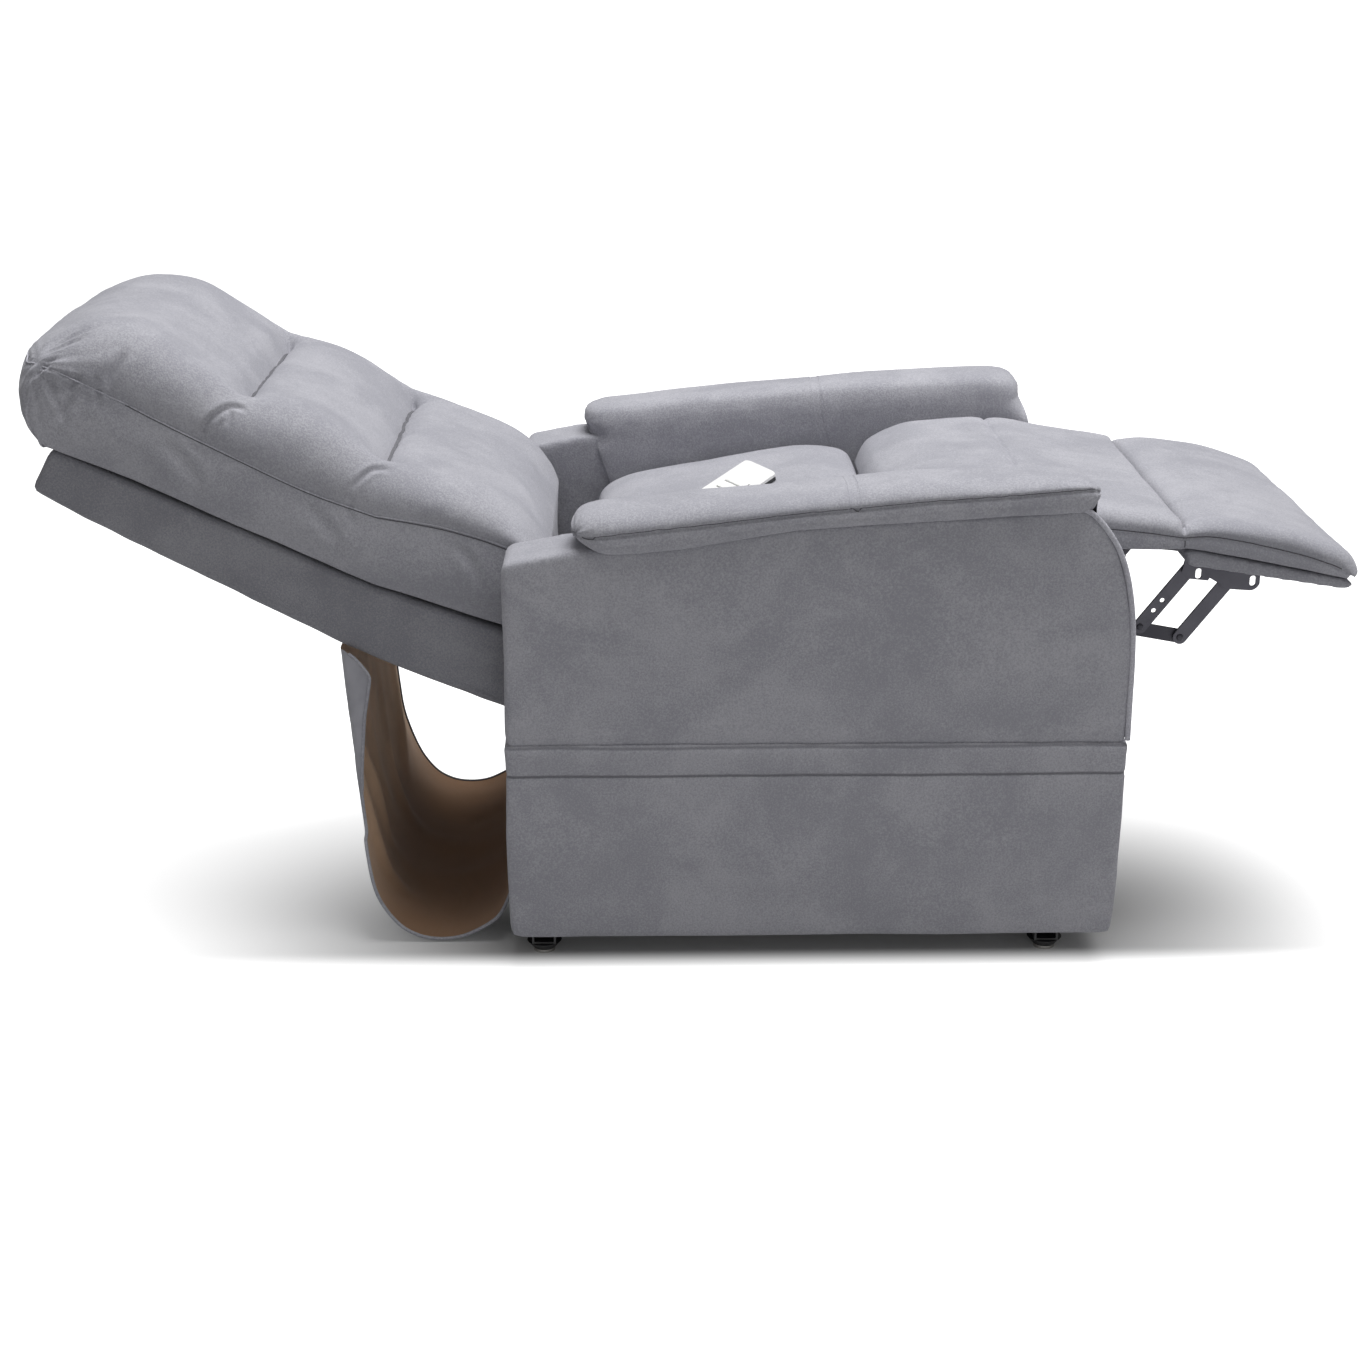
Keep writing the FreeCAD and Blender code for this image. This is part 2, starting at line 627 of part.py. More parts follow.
def motor(name, rear, pin, y, tube_long, can_side):
    """Gearbox, motor can and square outer tube, with an eye at the rear pivot."""
    eye_root = (d.motor_eye_round * 1.6, 0.0)
    eye = tab(name + "_eye", eye_root, (0.0, 0.0), d.motor_eye_round, d.motor_eye_round,
              0.0, d.motor_eye_wide, holes=((0.0, 0.0, stud_bore),))
    block_x = d.motor_eye_round * 1.5 + d.motor_block_long / 2
    block = box(name + "_block", d.motor_block_long, d.motor_block_wide, d.motor_block_high,
                block_x, 0.0, 0.0)
    can_y = (d.motor_block_wide / 2 + d.motor_can_radius * 0.8) * can_side
    can = bind(doc.addObject("Part::Cylinder", name + "_can"),
               Radius=d.motor_can_radius, Height=d.motor_can_long)
    place(can, d.motor_eye_round * 1.5, can_y, 0.0, ALONG_X)
    tube_from = block_x + d.motor_block_long / 2
    tube = box(name + "_tube", tube_long, d.motor_tube_wide, d.motor_tube_wide,
               tube_from + tube_long / 2, 0.0, 0.0)
    bore_wide = d.rod_wide + d.rod_play * 2
    bore_long = tube_long + d.motor_block_long * 0.4
    bore = box(name + "_bore", bore_long, bore_wide, bore_wide,
               tube_from + tube_long - bore_long / 2, 0.0, 0.0)
    whole = cut(name, fuse(name + "_solid", eye, block, can, tube), bore)
    place(whole, rear[0], y, rear[1], aim(rear, pin))
    return node(name, whole)


def aim(rear, pin):
    """The turn that points local X from one point to another in the XZ plane."""
    angle = math.atan2(num(pin[1]) - num(rear[1]), num(pin[0]) - num(rear[0]))
    return FreeCAD.Rotation(V(0, 1, 0), -math.degrees(angle))


def rod(name, rear, pin, y, rod_from):
    """Square inner tube with a fork whose pin crosses the lever's slot."""
    span = math.hypot(num(pin[0]) - num(rear[0]), num(pin[1]) - num(rear[1]))
    ear_y = d.lever_thick / 2 + d.link_play / 2 + d.fork_ear / 2
    yoke_from = span - num(d.fork_reach)
    bar_long = yoke_from - rod_from
    bar_solid = box(name + "_bar", bar_long, d.rod_wide, d.rod_wide, rod_from + bar_long / 2, 0.0, 0.0)
    yoke = box(name + "_yoke", d.yoke_thick, (ear_y + d.fork_ear / 2) * 2, d.fork_round * 2,
               yoke_from + d.yoke_thick / 2, 0.0, 0.0)
    ears = [tab(f"{name}_ear{i}", (yoke_from + d.yoke_thick - 1, 0.0), (span, 0.0),
                d.fork_round, d.fork_round,
                ear_y * sign, d.fork_ear) for i, sign in enumerate((1.0, -1.0))]
    half = ear_y + d.fork_ear / 2
    pin_rod = rod_y(name + "_pin", d.fork_pin_radius, span, 0.0, -half, half)
    whole = fuse(name, bar_solid, yoke, *ears, pin_rod)
    place(whole, rear[0], y, rear[1], aim(rear, pin))
    return node(name, whole)


lift_rear = (d.lift_motor_x, d.lift_motor_z)
lift_pin = (d.lift_lever_x, d.lift_lever_z)
motor("lift_motor", lift_rear, lift_pin, d.lift_drive_y, d.lift_tube_long, 1.0)
rod("lift_rod", lift_rear, lift_pin, d.lift_drive_y, d.lift_rod_from)

recline_rear = (d.recline_motor_x, d.recline_motor_z)
recline_pin = (d.recline_lever_x, d.recline_lever_z)
motor("recline_motor", recline_rear, recline_pin, d.recline_drive_y, d.recline_tube_long, 1.0)
rod("recline_rod", recline_rear, recline_pin, d.recline_drive_y, d.recline_rod_from)

leg_rear = (d.leg_motor_x, d.leg_motor_z)
leg_pin = (d.leg_lever_x, d.leg_lever_z)
motor("footrest_motor", leg_rear, leg_pin, 0.0, d.leg_tube_long, 1.0)
rod("footrest_rod", leg_rear, leg_pin, 0.0, d.leg_rod_from)


# Chassis

plate_y = d.arm_inner - d.plate_thick / 2
plate_inner = d.arm_inner - d.plate_thick
rail_in = d.seat_rail_outer - d.seat_rail_wide
bar_half = d.chassis_tube / 2

for side, sign in SIDES:
    name = "chassis_plate_" + side
    rear_x = d.chassis_rear_x - bar_half
    front_x = d.chassis_front_x + bar_half + 8
    low_z = d.front_top_z - d.front_link_round
    base = plate(name + "_sheet", [
        (rear_x, low_z),
        (rear_x, d.chassis_rear_z + bar_half + 12),
        (d.recline_x - d.plate_boss_half, d.recline_z),
        (d.recline_x + d.plate_boss_half, d.recline_z, d.plate_boss_round, False),
        (d.recline_x + 95, d.chassis_front_z + bar_half + 10),
        (front_x, d.chassis_front_z + bar_half + 10),
        (front_x, d.chassis_front_z - bar_half - 10),
        (d.front_top_x + 60, low_z)], plate_y * sign, d.plate_thick)
    back_stud = stud(name + "_back_stud", d.recline_x, d.recline_z, rail_in, plate_inner, sign)
    link_in = d.front_link_y - d.front_link_thick / 2
    link_stud = stud(name + "_link_stud", d.front_top_x, d.front_top_z, link_in, plate_inner, sign)
    node(name, fuse(name, base, back_stud, link_stud))

rear_bar = tube_y("chassis_rear_tube", d.chassis_tube, d.chassis_tube, d.chassis_tube_wall,
                  d.chassis_rear_x, d.chassis_rear_z, -plate_inner, plate_inner)
rear_lugs = []
for side, sign in SIDES:
    lug_y = (d.lift_arm_y + d.lift_arm_thick / 2 + d.link_play + d.lug_thick / 2) * sign
    rear_lugs.append(tab("chassis_lug_" + side, (d.chassis_rear_x + bar_half - 1, d.chassis_rear_z),
                         (d.lift_top_x, d.lift_top_z), bar_half, d.lug_round - 2, lug_y, d.lug_thick))
    rear_lugs.append(stud("chassis_lug_stud_" + side, d.lift_top_x, d.lift_top_z,
                          d.lift_arm_y - d.lift_arm_thick / 2,
                          d.lift_arm_y + d.lift_arm_thick / 2 + d.link_play + d.lug_thick / 2, sign))
node("chassis_rear_crossbar", fuse("chassis_rear_crossbar", rear_bar, *rear_lugs))

front_bar = tube_y("chassis_front_tube", d.chassis_tube, d.chassis_tube, d.chassis_tube_wall,
                   d.chassis_front_x, d.chassis_front_z, -plate_inner, plate_inner)
node("chassis_front_crossbar",
     fuse("chassis_front_crossbar", front_bar,
          *motor_clevis("recline_clevis", *recline_rear,
                        (d.chassis_front_x - bar_half, d.chassis_front_z), bar_half, d.recline_drive_y)))

box_body = pad_body("control_box_body", plate_inner - d.box_deep / 2, d.box_deep,
                    lambda outline: outline.path([
                        (d.box_x - d.box_long / 2, d.box_z - d.box_high / 2),
                        (d.box_x + d.box_long / 2, d.box_z - d.box_high / 2),
                        (d.box_x + d.box_long / 2, d.box_z + d.box_high / 2),
                        (d.box_x - d.box_long / 2, d.box_z + d.box_high / 2)]))
node("control_box", round_edges(box_body, 5.0, along_y))


def arm_outline(low_z, x_in):
    """Outline of the upper arm from low_z up, drawn in by x_in at front and rear."""
    return [
        (d.arm_rear_x + x_in, low_z),
        (d.arm_rear_x + x_in, d.arm_rear_z - x_in),
        (d.arm_middle_x, d.arm_middle_z - x_in),
        (d.arm_nose_x, d.arm_nose_z - x_in),
        (d.arm_front_x - 1.5 - x_in, d.arm_nose_end_z, d.arm_nose_radius, False),
        (d.arm_front_x - x_in, low_z)]


def band_outline(low_z, high_z):
    return [
        (d.arm_rear_x, high_z),
        (d.arm_front_x, high_z),
        (d.arm_front_x, low_z + 135),
        (d.arm_front_x - 5, low_z),
        (d.arm_rear_x, low_z)]


cover_in = d.arm_inner + d.arm_board_thick
fold_low = d.arm_seam_z
for side, sign in SIDES:
    name = "arm_board_" + side
    board_y = (d.arm_inner + d.arm_board_thick / 2) * sign
    board = plate(name, arm_outline(d.arm_base_z + 8, d.arm_corner), board_y, d.arm_board_thick)
    node(name, board)
    name = "arm_panel_" + side
    wide = d.arm_outer - cover_in
    cover = plate(name, arm_outline(fold_low, 0.0), (cover_in + wide / 2) * sign, wide)
    node(name, cover)
    name = "arm_band_" + side
    wide = d.arm_outer + d.arm_band_proud - cover_in
    band = plate(name, band_outline(d.arm_base_z, fold_low), (cover_in + wide / 2) * sign, wide)
    corner = num(d.arm_base_z) + 1
    node(name, round_edges(band, d.arm_corner, lambda edge: along_y(edge) and edge.BoundBox.ZMax < corner))


# Soft forms, as lofts through closed outlines

soft_gap = 0.3
BEND_RUNS = 4


def corners_at(place_point, steps):
    """Corners of a closed outline through steps: (u, v) for a line, (mid u, mid v, u, v) for a bend."""
    points = [place_point(*steps[0])]
    for step in steps[1:]:
        if len(step) == 4:
            arc = Part.Arc(points[-1], place_point(*step[:2]), place_point(*step[2:]))
            points.extend(arc.toShape().discretize(BEND_RUNS + 1)[1:])
        else:
            points.append(place_point(*step))
    return points


def skinned(name, outlines):
    """A solid of flat faces through outlines with the same number of corners, closed at both ends."""
    faces = [Part.Face(Part.makePolygon(outline + outline[:1])) for outline in (outlines[0], outlines[-1])]
    count = len(outlines[0])
    for near, far in zip(outlines, outlines[1:]):
        for i in range(count):
            a, b, c, e = near[i], near[(i + 1) % count], far[(i + 1) % count], far[i]
            for corners in ((a, b, c), (a, c, e)):
                faces.append(Part.Face(Part.makePolygon([*corners, corners[0]])))
    solid = Part.Solid(Part.Shell(faces))
    if solid.Volume < 0:
        solid.reverse()
    feature = doc.addObject("Part::Feature", name)
    feature.Shape = solid
    return node(name, feature)


def loft_y(name, stations):
    """A solid through outlines in XZ, each at its own y: stations of (y, steps)."""
    return skinned(name, [corners_at(lambda u, v, y=y: V(num(u), num(y), num(v)), steps)
                          for y, steps in stations])


def loft_x(name, stations):
    """A solid through outlines in YZ, each at its own x."""
    return skinned(name, [corners_at(lambda u, v, x=x: V(num(x), num(u), num(v)), steps)
                          for x, steps in stations])


def arm_top(x):
    """Height of the arm's top at a given x."""
    x = num(x)
    rear, middle, nose = num(d.arm_rear_x), num(d.arm_middle_x), num(d.arm_nose_x)
    if x < middle:
        share = (x - rear) / (middle - rear)
        return num(d.arm_rear_z) + share * (num(d.arm_middle_z) - num(d.arm_rear_z))
    share = (x - middle) / (nose - middle)
    return num(d.arm_middle_z) + share * (num(d.arm_nose_z) - num(d.arm_middle_z))


# Rise of the arm pad's crest, outer seam and inner shoulder above the arm's top, along the pad
PAD_STATIONS = (
    (0.0, 6.0, 2.0, 3.0, 60.0),
    (0.03, 31.0, 10.0, 16.0, 36.0),
    (0.13, 41.0, 17.0, 25.0, 0.0),
    (0.42, 41.0, 16.0, 24.0, 0.0),
    (0.80, 42.0, 20.0, 26.0, 0.0),
    (0.96, 39.0, 22.0, 24.0, 0.0),
    (1.0, 22.0, 10.0, 14.0, 0.0),
)


def arm_pad(side, sign):
    """A pad that lies on the arm's top and turns down its inner face."""
    stations = []
    long = num(d.pad_front_x - d.pad_rear_x)
    nose_rise = num(d.arm_nose_z)
    for share, crest, seam, shoulder, lift in PAD_STATIONS:
        x = num(d.pad_rear_x) + share * long
        top = arm_top(x)
        if x > num(d.arm_nose_x):
            top = nose_rise
        flap = num(d.pad_flap_z) + lift
        top += 2 * soft_gap
        steps = [
            (num(d.arm_inner) * sign, flap),
            (num(d.arm_inner) * sign, top),
            (num(d.arm_outer) * sign, top),
            (num(d.pad_outer) * sign, top + seam * 0.15),
            (num(d.pad_outer) * sign, top + seam),
            (num(d.pad_crest_y) * sign, top + crest, num(d.arm_inner - d.pad_flap) * sign, top + shoulder),
            (num(d.arm_inner - d.pad_flap) * sign, flap)]
        stations.append((x, steps))
    return loft_x("arm_pad_" + side, stations)


for side, sign in SIDES:
    arm_pad(side, sign)


# Back

SHELL = [
    (-787.6, 641.3), (-402.0, 466.0), (-160.0, 381.0),
    (-168.0, 274.0), (-244.2, 305.0), (-372.4, 356.3), (-446.5, 390.5), (-615.6, 479.8), (-793.3, 574.8),
    (-812.0, 592.0)]
shell = plate("back_shell", [SHELL[0]] + list(SHELL[1:]), 0.0, d.shell_half * 2)
node("back_shell", shell)


def shell_top(x):
    """Height of the back shell's upper face at a given x."""
    line = SHELL[:3]
    for (ax, az), (bx, bz) in zip(line, line[1:]):
        if x <= bx:
            return az + (x - ax) * (bz - az) / (bx - ax)
    return line[-1][1]


def mixed(low, high, share):
    """Steps part of the way from one outline to another with the same steps."""
    return [tuple(a + (b - a) * share for a, b in zip(one, two)) for one, two in zip(low, high)]


def crowned(name, half, side_steps, crown_steps):
    """A cushion whose sides follow one outline and whose middle rises to another."""
    half = num(half)
    near_half = ((-1.0, 0.0), (-0.95, 0.52), (-0.84, 0.86), (-0.6, 1.0))
    profile = (*near_half, *((-share, rise) for share, rise in reversed(near_half)))
    return loft_y(name, [(share * half, mixed(side_steps, crown_steps, rise)) for share, rise in profile])


valley_head = (-556.0, 687.0)
valley_waist = (-389.0, 609.0)
foot_head = (-570.0, shell_top(-570.0))
foot_waist = (-402.0, shell_top(-402.0))
foot_end = (-186.0, shell_top(-186.0))


def on_wall(foot, valley, z):
    """The point of the wall between two puffs at height z."""
    share = (z - foot[1]) / (valley[1] - foot[1])
    return (foot[0] + share * (valley[0] - foot[0]), z)


side_head = on_wall(foot_head, valley_head, 632.0)
side_waist = on_wall(foot_waist, valley_waist, 557.0)

head_crown = [
    (-788.0, 641.7), foot_head, valley_head,
    (-640.0, 761.0, -727.7, 791.0), (-776.0, 786.5, -817.0, 768.0), (-837.0, 728.0, -825.0, 674.0),
    (-809.0, 641.5)]
head_side = [
    (-788.0, 641.7), foot_head, side_head,
    (-648.0, 677.0, -719.0, 716.0), (-746.0, 730.0, -772.0, 733.0), (-802.0, 710.0, -806.0, 676.0),
    (-800.0, 643.0)]
crowned("head_puff", d.cushion_half, head_side, head_crown)

middle_crown = [foot_head, foot_waist, valley_waist, (-468.0, 673.0, *valley_head)]
middle_side = [foot_head, foot_waist, side_waist, (-478.0, 591.0, *side_head)]
crowned("middle_puff", d.cushion_half, middle_side, middle_crown)

lumbar_crown = [foot_waist, foot_end, (-183.4, 486.0), (-202.0, 528.0, -240.0, 560.0),
                (-312.0, 599.0, *valley_waist)]
lumbar_side = [foot_waist, foot_end, (-187.0, 455.0), (-203.0, 495.0, -238.5, 517.0),
               (-312.0, 541.0, *side_waist)]
crowned("lumbar_puff", d.cushion_half, lumbar_side, lumbar_crown)

recline = (d.recline_x, d.recline_z)
back_tube = (d.back_tube_x, d.back_tube_z)
bracket_thick = d.plate_thick
for side, sign in SIDES:
    name = "back_bracket_" + side
    y = (d.shell_half + bracket_thick / 2) * sign
    node(name, plate(name, [
        (d.back_tube_x - 16, d.back_tube_z - 14),
        (d.back_tube_x + 16, d.back_tube_z - 14),
        (d.recline_x + 16, d.recline_z),
        (d.recline_x - 10, d.recline_z + 12, 16.5, True),
        (-214.0, 392.0),
        (-222.0, 350.0)], y, bracket_thick,
        holes=((*recline, stud_bore),)))

back_pipe = tube_y("back_pipe", d.back_tube_wide, d.back_tube_wide, d.back_tube_wall, *back_tube,
                   -d.shell_half, d.shell_half)
recline_lever = slotted_lever("recline_lever", (d.back_tube_x + d.back_tube_wide / 2 - 1, d.back_tube_z),
                              recline, recline_pin, d.recline_drive_y,
                              d.slot_inward, d.slot_outward, d.slot_play)
node("back_crossbar", fuse("back_crossbar", back_pipe, recline_lever))


# Seat

slope = math.tan(math.radians(num(d.seat_slope)))


def rail_z(x, up):
    """Height of the seat rails at x, up from their middle line."""
    return d.recline_z + (x - d.recline_x) * slope + up


rail_half = d.seat_rail_high / 2
front_x = d.seat_rail_front_x
rear_end = d.recline_x - 18
for side, sign in SIDES:
    name = "seat_rail_" + side
    rail = plate(name + "_bar", [
        (rear_end, rail_z(rear_end, -rail_half)),
        (front_x, rail_z(front_x, -rail_half)),
        (front_x, rail_z(front_x, rail_half)),
        (rear_end, rail_z(rear_end, rail_half))],
        (d.seat_rail_outer - d.seat_rail_wide / 2) * sign, d.seat_rail_wide,
        holes=((*recline, stud_bore),))
    lug_y = (rail_in - d.lug_thick / 2) * sign
    lug = tab(name + "_lug", (d.drive_x, d.drive_z + 24), (d.drive_x, d.drive_z), d.lug_round, d.lug_round,
              lug_y, d.lug_thick,
              holes=((d.drive_x, d.drive_z, stud_bore),))
    node(name, fuse(name, rail, lug))

cross_half = d.cross_rail_wide / 2
cross_front_x = front_x - cross_half


def cross_rail(name, x, raised):
    """A cross rail between the seat rails, square to their slope."""
    return plate(name, [
        (x - cross_half, rail_z(x - cross_half, raised - rail_half)),
        (x + cross_half, rail_z(x + cross_half, raised - rail_half)),
        (x + cross_half, rail_z(x + cross_half, rail_half)),
        (x - cross_half, rail_z(x - cross_half, rail_half))], 0.0, rail_in * 2)


hinge = (d.hinge_x, d.hinge_z)
hinge_pieces = [cross_rail("cross_front", cross_front_x, d.front_rail_raised)]
hinge_root = (d.hinge_x - 21, d.hinge_z - 39)
for side, sign in SIDES:
    lug_near = d.strap_y + d.strap_wide / 2 + d.link_play / 2
    lug_y = (lug_near + d.lug_thick / 2) * sign
    hinge_pieces.append(tab("hinge_lug_" + side, hinge_root, hinge, d.knuckle_radius, d.knuckle_radius,
                            lug_y, d.lug_thick))
    hinge_pieces.append(stud("hinge_pin_" + side, *hinge, d.strap_y - d.strap_wide / 2, lug_near, sign, 3.0))
leg_anchor = (d.cross_rear_x + 8, rail_z(d.cross_rear_x, -rail_half) + 10)
leg_clevis = motor_clevis("leg_clevis", *leg_rear, leg_anchor, 12.0, 0.0)
node("seat_rear_rail", fuse("seat_rear_rail", cross_rail("cross_rear", d.cross_rear_x, 0.0), *leg_clevis))
node("seat_front_rail", fuse("seat_front_rail", *hinge_pieces))


def spring(y):
    """A sinuous spring of square wire: bends to either side in three straight runs each."""
    wire, radius = num(d.spring_wire), num(d.spring_radius)
    x_from, x_to = num(d.cross_rear_x) - 6, num(cross_front_x) + 6
    turns = int((x_to - x_from - 40) // (2 * radius))
    x = (x_from + x_to) / 2 - turns * radius
    points = [V(x_from, y, 0), V(x, y, 0)]
    for i in range(turns):
        bend = radius if i % 2 else -radius
        points += [V(x + radius * 0.4, y + bend, 0), V(x + radius * 1.6, y + bend, 0),
                   V(x + radius * 2, y, 0)]
        x += 2 * radius
    points.append(V(x_to, y, 0))
    flat = Part.makePolygon(points).makeOffset2D(wire / 2, 2, True, True, False)
    return flat.extrude(V(0, 0, wire)).translated(V(0, 0, -wire / 2))


springs = doc.addObject("Part::Feature", "seat_springs")
spring_shapes = [spring((i - 1.5) * num(d.spring_step)) for i in range(4)]
springs.Shape = Part.Compound(spring_shapes)
spring_lift = num(rail_z(d.cross_rear_x, rail_half)) + num(d.spring_wire) * 0.51
pivot_point = V(num(d.cross_rear_x), 0, 0)
springs.Placement = FreeCAD.Placement(
    V(0, 0, spring_lift), FreeCAD.Rotation(V(0, 1, 0), -num(d.seat_slope)), pivot_point)
node("seat_springs", springs)


def seat_floor(x):
    """Underside of the cushions, just above the springs."""
    return num(rail_z(x, rail_half)) + num(d.spring_wire) * 1.02 + soft_gap


seat_x0, seat_x1 = num(d.seat_rear_x), num(d.seat_front_x)
flat_from, flat_to = (-52.0, 501.5), (118.0, 531.0)
seat_crown = [(seat_x0, seat_floor(seat_x0)), (seat_x1, seat_floor(seat_x1)), (seat_x1, 513.0),
              (229.0, 527.0, 205.0, 535.0), (165.0, 537.0, *flat_to), flat_from,
              (-92.0, 486.0, seat_x0, 452.0)]
seat_side = [(seat_x0, seat_floor(seat_x0)), (seat_x1, seat_floor(seat_x1)), (seat_x1, 490.0),
             (226.0, 505.0, 200.0, 511.0), (162.0, 514.0, 118.0, 508.0), (-52.0, 478.5),
             (-92.0, 463.0, seat_x0, 438.0)]
crowned("seat_cushion", d.seat_half, seat_side, seat_crown)

roll_x = num(d.roll_front_x)
notch_x = roll_x - 23
roll_crown = [(seat_x1, seat_floor(seat_x1)), (notch_x, seat_floor(notch_x)),
              (notch_x, num(d.hinge_z) + 7), (roll_x, num(d.hinge_z) + 9),
              (roll_x, 573.0), (345.0, 574.0, 290.0, 560.0), (254.0, 543.0, seat_x1, 513.0)]
roll_side = [(seat_x1, seat_floor(seat_x1)), (notch_x, seat_floor(notch_x)),
             (notch_x, num(d.hinge_z) + 7), (roll_x, num(d.hinge_z) + 9),
             (roll_x, 545.0), (345.0, 541.0, 290.0, 526.0), (256.0, 511.0, seat_x1, 490.0)]
crowned("front_roll", d.seat_half, roll_side, roll_crown)


# Legrest

bridge_x0 = num(d.roll_front_x) + num(d.pad_gap)
bridge_x1 = num(d.bridge_front_x)
bridge_crown = [(bridge_x0, num(d.hinge_z) + 11), (bridge_x0 + 14, num(d.hinge_z) + 6), (bridge_x1, 508.0),
                (bridge_x1, 546.0), (495.0, 564.5, bridge_x0, 573.0)]
bridge_side = [(bridge_x0, num(d.hinge_z) + 11), (bridge_x0 + 14, num(d.hinge_z) + 6), (bridge_x1, 508.0),
               (bridge_x1, 527.0), (495.0, 538.0, bridge_x0, 545.0)]
crowned("bridge_pad", d.leg_half, bridge_side, bridge_crown)

foot_x = num(d.foot_end_x)
leg_floor = [(616.0, 508.0), (foot_x - 18, 468.0)]
leg_crown = [(bridge_x1, 508.0), *leg_floor, (foot_x - 1, 468.0, foot_x - 6, 490.0),
             (foot_x - 14, 505.0, foot_x - 40, 514.5), (740.0, 534.0, 655.0, 545.0),
             (626.0, 549.5, bridge_x1, 546.0)]
leg_side = [(bridge_x1, 508.0), *leg_floor, (foot_x - 12, 470.0, foot_x - 17, 481.0),
            (foot_x - 24, 489.0, foot_x - 44, 496.0), (740.0, 512.0, 655.0, 524.0),
            (626.0, 527.5, bridge_x1, 527.0)]
crowned("footrest_pad", d.leg_half, leg_side, leg_crown)

board_rear = d.bridge_front_x + 11
board_front = d.foot_end_x - 9


def board_top(x):
    """Upper face of the legrest board at x, just under the pad."""
    (ax, az), (bx, bz) = leg_floor
    return az - soft_gap + (x - ax) * ((bz - az) / (bx - ax))


board = plate("footrest_board", [
    (board_rear, 504.0),
    (board_rear + 4, 487.5),
    (board_front - 12, 456.5),
    (board_front, 461.0),
    (board_front - 9, board_top(board_front - 9)),
    (board_rear + 6, board_top(board_rear + 6))], 0.0, d.board_half * 2)
node("footrest_board", board)


def board_under(x):
    """Underside of the legrest board at x."""
    ax, bx = num(board_rear) + 4, num(board_front) - 12
    return 487.5 + (num(x) - ax) * (456.5 - 487.5) / (bx - ax)


links_in = d.drive_link_y + d.leg_bar_thick / 2
mid_link_y = d.drive_link_y + d.leg_bar_thick + d.link_play
bracket_y = mid_link_y + d.leg_bar_thick + d.link_play
rear_pin = (d.rear_pin_x, d.rear_pin_z)
front_pin = (d.front_pin_x, d.front_pin_z)
drive = (d.drive_x, d.drive_z)
offset = (d.drive_x - d.hinge_x, d.drive_z - d.hinge_z)
cross_pin = (d.rear_pin_x + offset[0], d.rear_pin_z + offset[1])
elbow = (d.front_pin_x + offset[0], d.front_pin_z + offset[1])
leg_bore = d.leg_stud_radius + d.stud_play
slot_half = 4.0

for side, sign in SIDES:
    name = "footrest_bracket_" + side
    x0, x1 = d.rear_pin_x - 6, d.front_pin_x + 38
    sheet_y = bracket_y * sign
    slot_rear, slot_front = d.rear_pin_x + 11.5, d.front_pin_x + 29
    base = plate(name + "_sheet", [
        (x0, board_under(x0) - soft_gap),
        (x0 - 4, d.rear_pin_z - 2),
        (x0 + 6, d.rear_pin_z - 11),
        (d.rear_pin_x + 24, d.rear_pin_z - 13.5),
        (d.rear_pin_x + 26, d.rear_pin_z - 10),
        (d.front_pin_x - 14, d.front_pin_z - 3),
        (d.front_pin_x - 8, d.front_pin_z - 10),
        (x1 - 12, d.front_pin_z - 12.5),
        (x1, d.front_pin_z - 3, 13.0, True),
        (x1, board_under(x1) - soft_gap)], sheet_y, d.leg_bar_thick,
        slots=(((slot_rear, d.rear_pin_z - 7.5), (slot_rear, d.rear_pin_z - 1.5), slot_half),
               ((slot_front, d.front_pin_z - 3), (slot_front, d.front_pin_z + 3), slot_half)))
    stud_from, stud_to = mid_link_y - d.leg_bar_thick / 2, bracket_y - d.leg_bar_thick / 2
    rear_stud = stud(name + "_rear_stud", *rear_pin, stud_from, stud_to, sign, d.leg_stud_radius)
    front_stud = stud(name + "_front_stud", *front_pin, stud_from, stud_to, sign, d.leg_stud_radius)
    node(name, fuse(name, base, rear_stud, front_stud))

    name = "drive_link_" + side
    base = bar(name + "_bar", drive, elbow, d.leg_bar_round, d.drive_link_y * sign, d.leg_bar_thick)
    axle = stud(name + "_axle", *drive, links_in, rail_in, sign)
    cross_stud = stud(name + "_cross_stud", *cross_pin, links_in, mid_link_y + d.leg_bar_thick / 2, sign,
                      d.leg_stud_radius)
    elbow_stud = stud(name + "_elbow_stud", *elbow, links_in, mid_link_y + d.leg_bar_thick / 2, sign,
                      d.leg_stud_radius)
    node(name, fuse(name, base, axle, cross_stud, elbow_stud))

lower_hole = toward(rear_pin, cross_pin, -27.0)
upper_hole = toward(rear_pin, cross_pin, -44.0)
for label, start, end, extra in (
        ("footrest_rear_links", cross_pin, rear_pin, ((*lower_hole, 3.2), (*upper_hole, 3.2))),
        ("footrest_front_links", elbow, front_pin, ())):
    pair = doc.addObject("Part::Compound", label)
    pair.Links = [bar(f"{label}_{side}", start, end, d.leg_bar_round, mid_link_y * sign, d.leg_bar_thick,
                      holes=((*start, leg_bore), (*end, leg_bore), *extra)) for side, sign in SIDES]
    node(label, pair)

tube_end = d.drive_link_y - d.leg_bar_thick / 2
drive_pipe = tube_y("drive_pipe", d.drive_tube_wide, d.drive_tube_wide, d.drive_tube_wall, *drive,
                    -tube_end, tube_end)
leg_lever = slotted_lever("leg_lever", toward(leg_pin, drive, -d.drive_tube_wide / 2), drive, leg_pin, 0.0,
                          d.leg_slot_inward, d.slot_outward, d.leg_slot_play)
node("drive_tube", fuse("drive_tube", drive_pipe, leg_lever))

